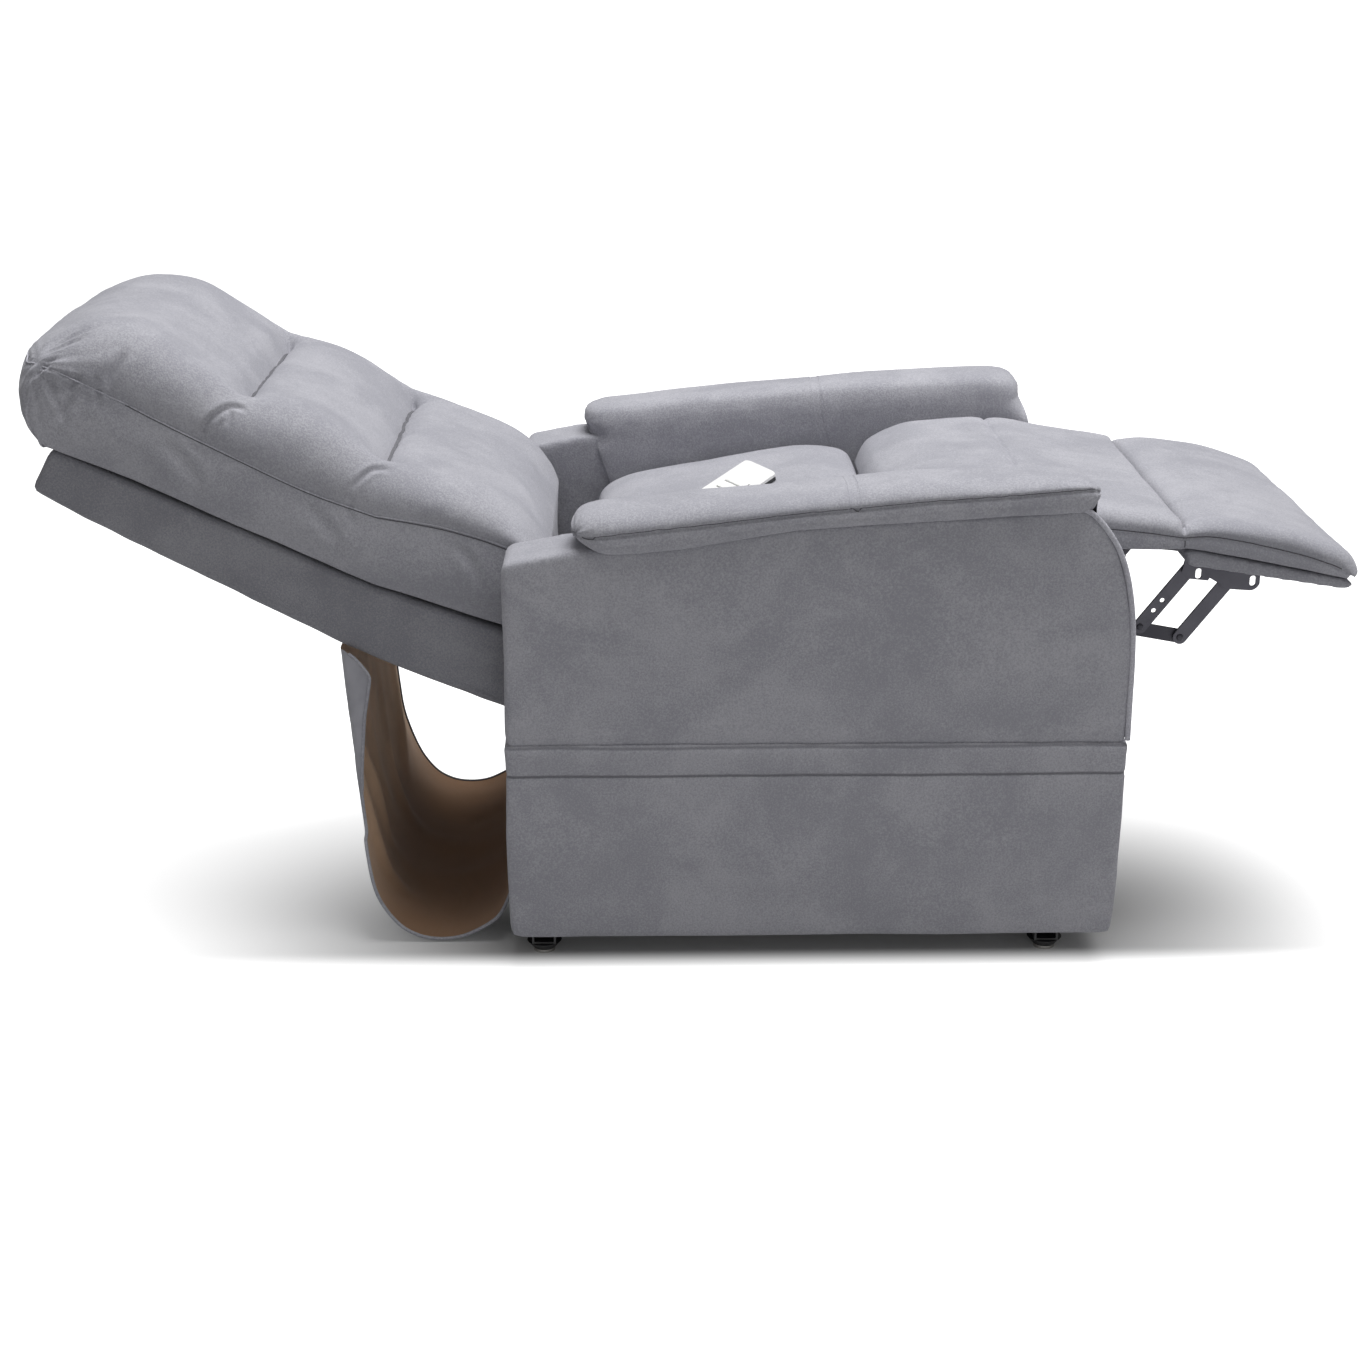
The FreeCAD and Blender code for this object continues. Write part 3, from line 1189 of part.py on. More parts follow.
strap_pieces = []
for side, sign in SIDES:
    strap = plate("strap_" + side, [
        (d.hinge_x, d.hinge_z + d.strap_thick / 2),
        (d.hinge_x, d.hinge_z - d.strap_thick / 2),
        (board_rear + 4, board_under(board_rear + 4) - soft_gap - d.strap_thick),
        (board_rear + 60, board_under(board_rear + 60) - soft_gap - d.strap_thick),
        (board_rear + 60, board_under(board_rear + 60) - soft_gap),
        (board_rear + 2, board_under(board_rear + 4) - soft_gap)], d.strap_y * sign, d.strap_wide)
    eye = rod_y("strap_eye_" + side, d.knuckle_radius, *hinge, d.strap_y * sign - d.strap_wide / 2,
                d.strap_y * sign + d.strap_wide / 2)
    bore = rod_y("strap_bore_" + side, 3.0 + d.stud_play, *hinge, d.strap_y * sign - d.strap_wide,
                 d.strap_y * sign + d.strap_wide)
    strap_pieces.append(cut("hinge_strap_" + side, fuse("strap_solid_" + side, strap, eye), bore))
straps = doc.addObject("Part::Compound", "hinge_straps")
straps.Links = strap_pieces
node("hinge_straps", straps)


# Rear skirt: a sheet that hangs in a loop from the back shell to the chassis

half_thick = num(d.skirt_thick) / 2
low_z = num(d.skirt_low_z) + half_thick
skirt_line = [
    (-448.0, 384.0), (-440.0, 300.0, -432.0, 200.0), (-421.0, 110.0, -402.0, 52.0),
    (-372.0, low_z + 4, -340.0, low_z), (-303.0, low_z + 6, -276.0, 37.0),
    (-255.0, 60.0, num(d.chassis_rear_x) - num(bar_half) - half_thick - soft_gap, 86.0)]


def offset_path(steps, distance):
    """The same line moved sideways, left of its own direction for a positive distance."""
    points = []
    for step in steps:
        points.extend([step[:2]] if len(step) == 2 else [step[:2], step[2:]])
    moved = []
    for i, (x, z) in enumerate(points):
        ax, az = points[max(i - 1, 0)]
        bx, bz = points[min(i + 1, len(points) - 1)]
        long = math.hypot(bx - ax, bz - az)
        moved.append((x - distance * (bz - az) / long, z + distance * (bx - ax) / long))
    return moved


def skirt_wire(y):
    left = offset_path(skirt_line, half_thick)
    right = offset_path(skirt_line, -half_thick)
    steps = [left[0]] + [(*left[i], *left[i + 1]) for i in range(1, len(left) - 1, 2)]
    steps.append(right[-1])
    steps.extend((*right[i], *right[i - 1]) for i in range(len(right) - 2, 0, -2))
    return steps


loft_y("rear_skirt", [(-d.skirt_half, skirt_wire(0)), (d.skirt_half, skirt_wire(0))])


# Handset, drawn flat with its length along X, then turned and laid on the seat

def wedge(name, z_from_low, z_from_high, z_to_low, z_to_high, holes):
    """A slab with rounded corners whose two faces slope across the handset."""
    long, wide, corner = num(d.handset_long), num(d.handset_wide), num(d.handset_round)
    block = Part.makeBox(long, wide, 60, V(-long / 2, -wide / 2, -20))
    block = block.makeFillet(corner, [edge for edge in block.Edges if edge.BoundBox.ZLength > 50])
    profile = [V(-long, -wide / 2, z_from_low), V(-long, wide / 2, z_from_high),
               V(-long, wide / 2, z_to_high), V(-long, -wide / 2, z_to_low), V(-long, -wide / 2, z_from_low)]
    slab = Part.Face(Part.makePolygon(profile)).extrude(V(long * 2, 0, 0))
    solid = block.common(slab)
    for hole in holes:
        solid = solid.cut(hole)
    feature = doc.addObject("Part::Feature", name)
    feature.Shape = solid
    return feature


handset_tilt = math.degrees(math.atan2(num(d.handset_high) - num(d.handset_low), num(d.handset_wide)))
seat_rise = (flat_to[1] - flat_from[1]) / (flat_to[0] - flat_from[0])
seat_pitch = math.degrees(math.atan(seat_rise))
handset_yaw = 62.0
handset_x, handset_y = 64.5, -13.5
handset_at = V(handset_x, handset_y, flat_from[1] + (handset_x - flat_from[0]) * seat_rise + soft_gap)
handset_turn = FreeCAD.Rotation(V(0, 1, 0), -seat_pitch) * FreeCAD.Rotation(V(0, 0, 1), handset_yaw)
lay = FreeCAD.Placement(handset_at, handset_turn)

low, high, face = num(d.handset_low), num(d.handset_high), num(d.handset_face)
face_turn = FreeCAD.Rotation(V(1, 0, 0), handset_tilt)
face_middle = V(0, 0, (low + high) / 2 + face)
KEYS = (("key_lift", -55.0), ("key_back", -29.0), ("key_legs", -3.0))


def key_box(long, wide, high_up, down, x):
    """A block square to the sloping face, from down below it to high_up above it."""
    block = Part.makeBox(long, wide, high_up + down, V(x - long / 2, -wide / 2, -down))
    block.Placement = FreeCAD.Placement(face_middle, face_turn).multiply(block.Placement)
    return block


key_long, key_wide, key_gap = num(d.key_long), num(d.key_wide), num(d.key_gap)
wells = [key_box(key_long + 2 * key_gap, key_wide + 2 * key_gap, 10, 7, x) for label, x in KEYS]
case = wedge("handset_case", 0.0, 0.0, low, high, wells)
face_plate = wedge("handset_face", low, high, low + face, high + face, wells)
for name, feature in (("handset_case", case), ("handset_face", face_plate)):
    feature.Placement = lay
    node(name, feature)

for label, x in KEYS:
    proud = num(d.key_proud)
    block = Part.makeBox(key_long, key_wide, proud + 4, V(-key_long / 2, -key_wide / 2, -4))
    rounded = block.makeFillet(2.0, [edge for edge in block.Edges if edge.BoundBox.ZLength > 3])
    dish = Part.makeCylinder(60, key_wide + 2, V(0, -key_wide / 2 - 1, proud + 59), V(0, 1, 0))
    key_shape = rounded.cut(dish)
    feature = doc.addObject("Part::Feature", label)
    feature.Shape = key_shape
    feature.Placement = lay.multiply(FreeCAD.Placement(face_middle, face_turn)).multiply(
        FreeCAD.Placement(V(x, 0, 0), FreeCAD.Rotation()))
    node(label, feature)


# Checks and files

doc.recompute()
for obj in doc.Objects:
    if "Invalid" in obj.State or "Error" in obj.State:
        raise ValueError(f"{obj.Label} could not be made: {obj.State}")
for name, obj in nodes.items():
    shape = obj.Shape
    if shape.isNull() or not shape.isValid() or shape.Volume <= 0:
        raise ValueError(f"{name} has no sound shape")

os.makedirs("parts", exist_ok=True)
for name, obj in nodes.items():
    obj.Shape.exportStep(f"parts/{name}.step")
print(len(nodes), "pieces written")
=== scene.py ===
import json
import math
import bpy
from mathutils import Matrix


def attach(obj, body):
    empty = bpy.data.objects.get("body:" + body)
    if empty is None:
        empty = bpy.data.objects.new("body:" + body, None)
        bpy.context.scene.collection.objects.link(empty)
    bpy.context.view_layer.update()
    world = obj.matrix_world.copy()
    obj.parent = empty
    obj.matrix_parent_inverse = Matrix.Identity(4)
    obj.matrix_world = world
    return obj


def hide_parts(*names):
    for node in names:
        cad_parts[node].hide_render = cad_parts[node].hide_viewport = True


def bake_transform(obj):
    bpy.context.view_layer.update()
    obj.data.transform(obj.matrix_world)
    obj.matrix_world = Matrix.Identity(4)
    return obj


bl_info = {
    "name": "Lift Recliner Chair",
    "version": (1, 0, 0),
    "blender": (4, 5, 0),
    "location": "View3D > Sidebar > Recliner",
    "description": "Upholstery, handset, metalwork and stage of a riser recliner, built over its packed frame",
    "category": "Object",
}

from functools import cache

import bmesh
import bpy
import numpy as np
from bpy.props import FloatProperty, FloatVectorProperty, PointerProperty
from mathutils import Vector, noise
from mathutils.kdtree import KDTree

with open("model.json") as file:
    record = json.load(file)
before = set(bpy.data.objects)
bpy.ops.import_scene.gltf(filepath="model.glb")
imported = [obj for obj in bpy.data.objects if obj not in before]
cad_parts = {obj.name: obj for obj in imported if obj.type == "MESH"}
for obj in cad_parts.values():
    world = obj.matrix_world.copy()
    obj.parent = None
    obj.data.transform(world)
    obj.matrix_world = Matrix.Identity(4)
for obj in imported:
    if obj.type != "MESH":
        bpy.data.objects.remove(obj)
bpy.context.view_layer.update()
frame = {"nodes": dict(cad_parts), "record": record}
MM = 0.001
SIDES = (1.0, -1.0)


def colour(name, description, default):
    return FloatVectorProperty(name=name, description=description, subtype="COLOR", size=3, min=0.0, max=1.0,
                               default=default)


def measure(name, description, low, high, default):
    return FloatProperty(name=name, description=description, subtype="DISTANCE", unit="LENGTH", min=low, max=high,
                         default=default)


class UpholsterySettings(bpy.types.PropertyGroup):
    """Sizes and colours of the covers."""

    velour: colour("Velour", "Colour of the microfibre velour", (0.300, 0.300, 0.335))
    velour_light: colour("Brushed velour", "Colour where the nap lies the other way", (0.435, 0.433, 0.468))
    lining: colour("Lining", "Colour of the skirt's inner side", (0.85, 0.56, 0.37))
    channel: measure("Channel depth", "How far a sewn channel pulls the back cushion in", 0.0, 0.05, 0.022)
    welt: measure("Welt radius", "Radius of the welt in a seam", 0.0005, 0.006, 0.0022)
    stitch: measure("Stitch length", "Length of one stitch", 0.001, 0.02, 0.006)


class StageSettings(bpy.types.PropertyGroup):
    """Floor, lamps and camera."""

    lens: FloatProperty(name="Focal length", description="Focal length in millimetres on a 36 mm frame",
                        min=10.0, max=200.0, default=62.8)
    top_lamp: FloatProperty(name="Top lamp", description="Power of the large lamp overhead", unit="POWER",
                            min=0.0, max=900.0, default=225.0)
    front_lamp: FloatProperty(name="Front lamp", description="Power of the lamp beside the camera", unit="POWER",
                              min=0.0, max=500.0, default=12.0)
    fill: FloatProperty(name="Fill", description="Strength of the light from all round", min=0.0, max=2.0,
                        default=0.26)


# Lines and outlines, mostly in side view: (x, z) in millimetres

def lengths_along(data):
    """How far along its line each point lies."""
    return np.concatenate(([0.0], np.cumsum(np.linalg.norm(np.diff(data, axis=0), axis=1))))


def read_at(data, steps, where):
    """The places on a line at the given lengths."""
    return np.stack([np.interp(where, steps, data[:, k]) for k in range(data.shape[1])], axis=1)


def path_through(points, count):
    """Evenly spaced points on a smooth line through the given ones."""
    run = [Vector(p) for p in points]
    run = [run[0] * 2 - run[1]] + run + [run[-1] * 2 - run[-2]]
    dense = []
    for p0, p1, p2, p3 in zip(run, run[1:], run[2:], run[3:]):
        for k in range(24):
            t = k / 24
            dense.append(0.5 * ((2 * p1) + (p2 - p0) * t + (2 * p0 - 5 * p1 + 4 * p2 - p3) * t * t
                                + (3 * p1 - p0 - 3 * p2 + p3) * t ** 3))
    dense.append(Vector(points[-1]))
    data = np.array(dense)
    steps = lengths_along(data)
    return read_at(data, steps, np.linspace(0.0, steps[-1], count))


def pieced_path(counts, *runs):
    """One line through runs that meet end to end, so that lines can be matched run by run."""
    lines = [path_through(run, count) for run, count in zip(runs, counts)]
    return np.concatenate([lines[0]] + [line[1:] for line in lines[1:]])


def rounded_outline(corners, step):
    """A closed outline through (x, z, radius) corners, with arcs, in points about a step apart."""
    line = []
    count = len(corners)
    for i, (x, z, radius) in enumerate(corners):
        here = Vector((x, z))
        before = Vector(corners[i - 1][:2]) - here
        after = Vector(corners[(i + 1) % count][:2]) - here
        turn = math.pi - before.angle(after)
        cut = min(radius * math.tan(turn / 2), before.length * 0.49, after.length * 0.49)
        start, end = here + before.normalized() * cut, here + after.normalized() * cut
        parts = max(2, round(radius * turn / step * 2))
        for k in range(parts + 1):
            t = k / parts
            line.append(start * (1 - t) ** 2 + here * 2 * t * (1 - t) + end * t * t)
    line.append(line[0])
    data = np.array(line)
    data = data[np.concatenate(([True], np.linalg.norm(np.diff(data, axis=0), axis=1) > 1e-4))]
    steps = lengths_along(data)
    return read_at(data, steps, np.linspace(0.0, steps[-1], int(steps[-1] / step), endpoint=False))


def step_up(low, high, value):
    """Smooth change from 0 at low to 1 at high."""
    t = min(max((value - low) / (high - low), 0.0), 1.0)
    return t * t * (3 - 2 * t)


def bell(distance, width):
    """A hump of height 1 that fades over the width."""
    return math.exp(-(distance / width) ** 2)


# Meshes, in metres

def new_object(name, data):
    obj = bpy.data.objects.new(name, data)
    bpy.context.scene.collection.objects.link(obj)
    return obj


def smooth_faces(mesh):
    for face in mesh.polygons:
        face.use_smooth = True


def mesh_object(name, points, faces):
    """A mesh object with smooth faces and its normals outward."""
    mesh = bpy.data.meshes.new(name)
    mesh.from_pydata([tuple(p) for p in points], [], faces)
    work = bmesh.new()
    work.from_mesh(mesh)
    bmesh.ops.recalc_face_normals(work, faces=work.faces)
    work.to_mesh(mesh)
    work.free()
    smooth_faces(mesh)
    return new_object(name, mesh)


def tube_of_rings(name, rings):
    """A closed mesh through rings that all have the same number of points."""
    count = len(rings[0])
    points = [p for ring in rings for p in ring]
    faces = []
    for i in range(len(rings) - 1):
        for j in range(count):
            k = (j + 1) % count
            faces.append((i * count + j, i * count + k, (i + 1) * count + k, (i + 1) * count + j))
    last = (len(rings) - 1) * count
    faces += [tuple(range(count)), tuple(last + j for j in range(count))]
    return mesh_object(name, points, faces)


def settled(obj):
    """Leaves what an object's modifiers make as its plain mesh."""
    graph = bpy.context.evaluated_depsgraph_get()
    mesh = bpy.data.meshes.new_from_object(obj.evaluated_get(graph))
    old = obj.data
    obj.modifiers.clear()
    obj.data = mesh
    bpy.data.meshes.remove(old)
    return obj


def baked(obj, *modifiers):
    """Applies modifiers given as (type, settings)."""
    for kind, settings in modifiers:
        modifier = obj.modifiers.new(kind.title(), kind)
        for key, value in settings.items():
            setattr(modifier, key, value)
    settled(obj)
    smooth_faces(obj.data)
    return obj


def subdivided(obj):
    return baked(obj, ("SUBSURF", {"levels": 1, "render_levels": 1}))


def even_mesh(obj, size, smooth):
    """Evenly sized faces over a piece, smoothed."""
    return baked(obj, ("REMESH", {"mode": "VOXEL", "voxel_size": size}),
                 ("SMOOTH", {"factor": 0.5, "iterations": smooth}))


def vectors_of(items, key):
    """One vector of every item, as the rows of an array."""
    data = np.empty(len(items) * 3)
    items.foreach_get(key, data)
    return data.reshape(-1, 3)


def moved_points(obj, shift):
    """Moves every vertex along its normal by shift(place, normal)."""
    mesh = obj.data
    places = vectors_of(mesh.vertices, "co")
    normals = vectors_of(mesh.vertex_normals, "vector")
    amount = np.array([shift(Vector(p), Vector(n)) for p, n in zip(places, normals)])
    places += normals * amount[:, None]
    mesh.vertices.foreach_set("co", places.ravel())
    mesh.update()
    return obj


def lowest_near(obj, x, y, reach, lift):
    """The lowest place on top of a piece within reach of x, lifted a little: the bottom of a channel."""
    found = []
    for shift in np.linspace(-reach, reach, 19):
        hit, place = obj.ray_cast(Vector((x + shift, y, 2.0)), Vector((0, 0, -1)))[:2]
        if hit:
            found.append(place)
    return min(found, key=lambda place: place.z) + Vector((0, 0, lift))


def laid_on(obj, line, lift):
    """The places on a piece nearest to those of a line, lifted off it or sunk a little."""
    places = []
    for place in line:
        found, near, normal = obj.closest_point_on_mesh(place)[:3]
        places.append(near + normal * lift if found else place)
    return places


def line_at(half, line, rise):
    """A line of (x, z) in millimetres, raised a little and laid at a given half width, in metres."""
    return [Vector((x * MM, half * MM, (z + rise) * MM)) for x, z in line]


def nearest_among(points):
    """A search tree over some points."""
    tree = KDTree(len(points))
    for i, point in enumerate(points):
        tree.insert(point, i)
    tree.balance()
    return tree


def distance_to(lines):
    """A function that gives the distance from a place to the nearest point of some lines."""
    tree = nearest_among([Vector(p) for line in lines for p in path_through(line, len(line) * 6)])
    return lambda place: tree.find(place)[2]


def pulled_by(rows, half):
    """How far drawn folds pull a cover in. Rows are (points in side view, depth, width), all in millimetres.

    A fold is drawn as it shows at the near edge of a piece of this half width, seen from above. So a place
    nearer the middle is looked up higher.
    """
    fall = 0.331
    marks = []
    for line, depth, width in rows:
        run = path_through(line, len(line) * 12)
        for k, (x, z) in enumerate(run):
            fade = math.sin(math.pi * (k + 0.5) / len(run)) ** 0.6
            marks.append((Vector((x * MM, 0.0, z * MM)), depth * MM * fade, width * MM))
    tree = nearest_among([mark[0] for mark in marks])

    def pull(place):
        spot = Vector((place.x, 0.0, place.z + (half * MM - abs(place.y)) * fall))
        index, away = tree.find(spot)[1:]
        depth, width = marks[index][1:]
        share = away / width
        return depth * (math.exp(-share ** 2) - 0.45 * math.exp(-(share - 1.9) ** 2))

    return pull


def folds(place, size, seed):
    """Smooth random height between about -1 and 1 at a scale in metres."""
    return noise.noise(place / size + Vector((seed, seed * 1.7, seed * 0.3)))


def ripples(place, seed, coarse=0.0016, fine=0.0006):
    """The slack of a velour cover: broad soft waves with shorter ones in them."""
    stretch = Vector((place.x * 0.7, place.y, place.z * 1.2))
    return coarse * folds(stretch, 0.085, seed) + fine * folds(stretch, 0.026, seed + 9.0)


# Materials

class Tree:
    """Short calls for building a material's nodes."""

    def __init__(self, name):
        self.material = bpy.data.materials.new(name)
        self.material.use_nodes = True
        self.nodes = self.material.node_tree.nodes
        self.nodes.clear()
        self.out = self.add("ShaderNodeOutputMaterial")
        self.place = self.add("ShaderNodeTexCoord").outputs["Object"]

    def add(self, kind, **settings):
        node = self.nodes.new(kind)
        for key, value in settings.items():
            setattr(node, key, value)
        return node

    def feed(self, socket, value):
        """Joins a socket to another one or gives it a value. A colour may come without its alpha."""
        if isinstance(value, bpy.types.NodeSocket):
            self.material.node_tree.links.new(value, socket)
        elif socket.type == "RGBA" and len(value) == 3:
            socket.default_value = (*value, 1.0)
        else:
            socket.default_value = value

    def put(self, node, **inputs):
        for key, value in inputs.items():
            self.feed(node.inputs[key.replace("_", " ")], value)
        return node

    def row(self, node, *values):
        """Feeds a node's first sockets in order and gives its first output."""
        for socket, value in zip(node.inputs, values):
            self.feed(socket, value)
        return node.outputs[0]

    def axis(self, letter):
        """X, Y or Z of the place."""
        return self.put(self.add("ShaderNodeSeparateXYZ"), Vector=self.place).outputs[letter]

    def noise(self, scale, detail=3.0, rough=0.5, distortion=0.0, stretch=None):
        source = self.place
        if stretch:
            source = self.put(self.add("ShaderNodeMapping"), Vector=source, Scale=stretch).outputs["Vector"]
        node = self.add("ShaderNodeTexNoise")
        self.put(node, Vector=source, Scale=scale, Detail=detail, Roughness=rough, Distortion=distortion)
        return node.outputs["Fac"]

    def weave(self, scale, *ways):
        """Fine bands along two axes, laid over each other."""
        bands = []
        for way in ways:
            wave = self.add("ShaderNodeTexWave", wave_type="BANDS", bands_direction=way)
            self.put(wave, Vector=self.place, Scale=scale, Distortion=0.6, Detail=1.0)
            bands.append(wave.outputs["Fac"])
        return self.math("MAXIMUM", *bands)

    def math(self, operation, *values):
        return self.row(self.add("ShaderNodeMath", operation=operation), *values)

    def spread(self, value, low, high, to_low=0.0, to_high=1.0):
        """A value carried smoothly from one range to another."""
        node = self.add("ShaderNodeMapRange", interpolation_type="SMOOTHSTEP")
        return self.row(node, value, low, high, to_low, to_high)

    def mix(self, factor, a, b):
        """A colour between a and b."""
        node = self.add("ShaderNodeMix", data_type="RGBA")
        for socket, value in ((node.inputs["Factor"], factor), (node.inputs[6], a), (node.inputs[7], b)):
            self.feed(socket, value)
        return node.outputs[2]

    def bump(self, height, strength, distance, normal=None):
        node = self.put(self.add("ShaderNodeBump"), Height=height, Strength=strength, Distance=distance)
        if normal is not None:
            self.put(node, Normal=normal)
        return node.outputs["Normal"]

    def surface(self, color, rough, normal, **fixed):
        """Ends the material in one shader."""
        shader = self.add("ShaderNodeBsdfPrincipled")
        self.put(shader, Base_Color=color, Roughness=rough, Normal=normal, **fixed)
        self.put(self.out, Surface=shader.outputs["BSDF"])
        return self.material


def toned(color, by, plus=0.0):
    return tuple(c * by + plus for c in color)


# Heights of the sewn line round the lower arm cover and of the seam above it
BAND_SEAM, ARM_SEAM = 0.2565, 0.2925


def velour(name, tone=1.0, seams=()):
    """Brushed microfibre: mottled nap, a pebbled suede grain, and sewn lines as (height, depth), each grooved and
    darkened as painted shade.
    """
    look = bpy.context.scene.upholstery
    tree = Tree(name)
    nap = tree.noise(9.0, detail=4.0, rough=0.55, distortion=0.6, stretch=(0.8, 1.0, 1.1))
    brush = tree.noise(26.0, detail=4.0, rough=0.6, distortion=0.8, stretch=(1.0, 1.0, 0.7))
    grain = tree.noise(430.0, rough=0.65, distortion=0.4)
    fibre = tree.noise(1300.0, detail=2.0, rough=0.6)
    shade = tree.math("ADD", tree.spread(nap, 0.32, 0.68, 0.10, 0.66), tree.spread(brush, 0.3, 0.7, -0.12, 0.12))
    shade = tree.math("ADD", shade, tree.spread(grain, 0.34, 0.7, -0.40, 0.54))
    shade = tree.math("ADD", shade, tree.spread(fibre, 0.3, 0.7, -0.2, 0.2))
    dark = toned(look.velour, tone)
    color = tree.mix(shade, dark, toned(look.velour_light, tone))
    height = tree.math("MULTIPLY_ADD", grain, 0.7, tree.math("MULTIPLY", fibre, 0.3))
    for level, depth in seams:
        wobble = tree.math("MULTIPLY_ADD", tree.noise(7.0, detail=1.0), 0.004, level - 0.002)
        gap = tree.math("ABSOLUTE", tree.math("SUBTRACT", tree.axis("Z"), wobble))
        line = tree.spread(gap, 0.0004, 0.0026, 1.0, 0.0)
        # painted shade along each sewn line: shade in the groove at the band seam and under the lapping upper cover
        # at the arm seam
        color = tree.mix(tree.math("MULTIPLY", line, depth * 0.8), color, toned(dark, 0.45))
        height = tree.math("MULTIPLY_ADD", line, -2.2 * depth, height)
    normal = tree.bump(height, 0.7, 0.0012, tree.bump(brush, 0.3, 0.0012))
    return tree.surface(color, tree.spread(grain, 0.3, 0.7, 0.82, 0.96), normal, Sheen_Weight=0.25,
                        Sheen_Roughness=0.5, Sheen_Tint=(0.9, 0.9, 0.95, 1.0), Specular_IOR_Level=0.2)


def skirt_cloth(name):
    """One cloth with velour outside and a brown woven lining inside, darkened near the floor as painted shade."""
    look = bpy.context.scene.upholstery
    tree = Tree(name)
    weave = tree.weave(420.0, "Y", "Z")
    cloud = tree.spread(tree.noise(9.0, detail=4.0, rough=0.6), 0.3, 0.7)
    grain = tree.noise(330.0, detail=4.0, rough=0.65)
    inner = tree.mix(cloud, toned(look.lining, 0.7), look.lining)
    raised = tuple(min(c * 1.25, 0.95) for c in look.lining)
    inner = tree.mix(tree.math("MULTIPLY", weave, 0.3), inner, raised)
    # painted shade: the lining grows darker towards the floor
    low = tuple(c * k for c, k in zip(look.lining, (0.30, 0.26, 0.22)))
    inner = tree.mix(tree.spread(tree.axis("Z"), 0.02, 0.18, 0.95, 0.0), inner, low)
    outer = tree.mix(cloud, look.velour, look.velour_light)
    facing = tree.add("ShaderNodeNewGeometry").outputs["Backfacing"]
    height = tree.math("ADD", tree.math("MULTIPLY", weave, 0.5), tree.math("MULTIPLY", grain, 0.5))
    return tree.surface(tree.mix(facing, outer, inner), 0.85, tree.bump(height, 0.4, 0.0004),
                        Sheen_Weight=0.15, Sheen_Roughness=0.5, Specular_IOR_Level=0.25)


def woven(name, color):
    """A plain woven cloth with a visible thread count."""
    tree = Tree(name)
    weave = tree.weave(300.0, "X", "Y")
    return tree.surface(tree.mix(weave, color, toned(color, 1.8)), 0.9, tree.bump(weave, 0.4, 0.0003),
                        Sheen_Weight=0.1, Specular_IOR_Level=0.2)


def thread(name, color):
    """Twisted sewing thread."""
    tree = Tree(name)
    twist = tree.noise(2400.0, detail=2.0)
    return tree.surface(tree.mix(twist, toned(color, 0.75), color), 0.8, tree.bump(twist, 0.6, 0.0002),
                        Sheen_Weight=0.3, Specular_IOR_Level=0.3)


def painted_steel(name, color, rough=0.42):
    """Powder coat: fine orange peel, dust in it, and worn edges a little brighter."""
    tree = Tree(name)
    peel = tree.noise(900.0, detail=2.0)
    dust = tree.noise(26.0, detail=5.0, rough=0.65)
    edge = tree.spread(tree.add("ShaderNodeNewGeometry").outputs["Pointiness"], 0.52, 0.6, 0.0, 0.5)
    base = tree.mix(tree.spread(dust, 0.45, 0.75, 0.0, 0.35), color, toned(color, 1.5, 0.01))
    return tree.surface(tree.mix(edge, base, toned(color, 2.2, 0.05)),
                        tree.spread(dust, 0.3, 0.7, rough - 0.07, rough + 0.12), tree.bump(peel, 0.25, 0.0002),
                        Metallic=0.35, Specular_IOR_Level=0.5)


def bright_metal(name, color, rough):
    """Bare or plated metal with fine scratches one way."""
    tree = Tree(name)
    scratch = tree.noise(60.0, detail=6.0, rough=0.7, stretch=(1.0, 12.0, 1.0))
    return tree.surface(tree.mix(scratch, toned(color, 0.8), color),
                        tree.spread(scratch, 0.3, 0.7, rough * 0.75, rough * 1.3),
                        tree.bump(scratch, 0.15, 0.0001), Metallic=1.0)


def moulded(name, color, rough, grain=0.3):
    """Injection moulded plastic with a fine spark texture."""
    tree = Tree(name)
    spark = tree.noise(1300.0, detail=2.0)
    cloud = tree.noise(12.0)
    return tree.surface(tree.mix(cloud, toned(color, 0.93), color),
                        tree.spread(cloud, 0.3, 0.7, rough - 0.04, rough + 0.06),
                        tree.bump(spark, grain, 0.00012), Specular_IOR_Level=0.5)


FINISHES = {
    "velour": (velour,),
    "velour_back": (velour, 0.98),
    "velour_shell": (velour, 0.74),
    "velour_band": (velour, 1.0, ((BAND_SEAM, 1.0), (ARM_SEAM, 0.7))),
    # a lighter copy of the velour for welts and piping: a painted highlight along their ridges
    "velour_welt": (velour, 1.3),
    "velour_board": (velour, 0.95),
    # a dark copy of the velour for thin lines in seams, creases and a hem: painted shade
    "velour_seam": (velour, 0.34),
    "skirt": (skirt_cloth,),
    "seam_thread": (thread, (0.42, 0.42, 0.47)),
    "graphite_steel": (painted_steel, (0.027, 0.026, 0.036)),
    "black_steel": (painted_steel, (0.012, 0.012, 0.013), 0.5),
    "black_cloth": (woven, (0.018, 0.018, 0.024)),
    "black_plastic": (moulded, (0.012, 0.012, 0.013), 0.45),
    "motor_plastic": (moulded, (0.03, 0.03, 0.033), 0.5, 0.5),
    "white_plastic": (moulded, (0.80, 0.80, 0.79), 0.33, 0.12),
    "key_plastic": (moulded, (0.62, 0.64, 0.66), 0.38, 0.2),
    "rod_steel": (bright_metal, (0.6, 0.6, 0.6), 0.25),
    "nickel": (bright_metal, (0.62, 0.60, 0.57), 0.22),
    "spring_steel": (bright_metal, (0.30, 0.29, 0.28), 0.4),
}


@cache
def finish_of(name):
    """A finish by name, made on first use."""
    maker, *settings = FINISHES[name]
    return maker(name, *settings)


def coat(obj, finish):
    obj.data.materials.clear()
    obj.data.materials.append(finish_of(finish))


def upholster(obj, finish, body, nodes):
    """Gives a velour cover its finish, the body it rides on and the nodes it stands for."""
    coat(obj, finish)
    if body:
        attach(obj, body)
    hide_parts(*nodes)


# Geometry Nodes for what repeats or follows a line

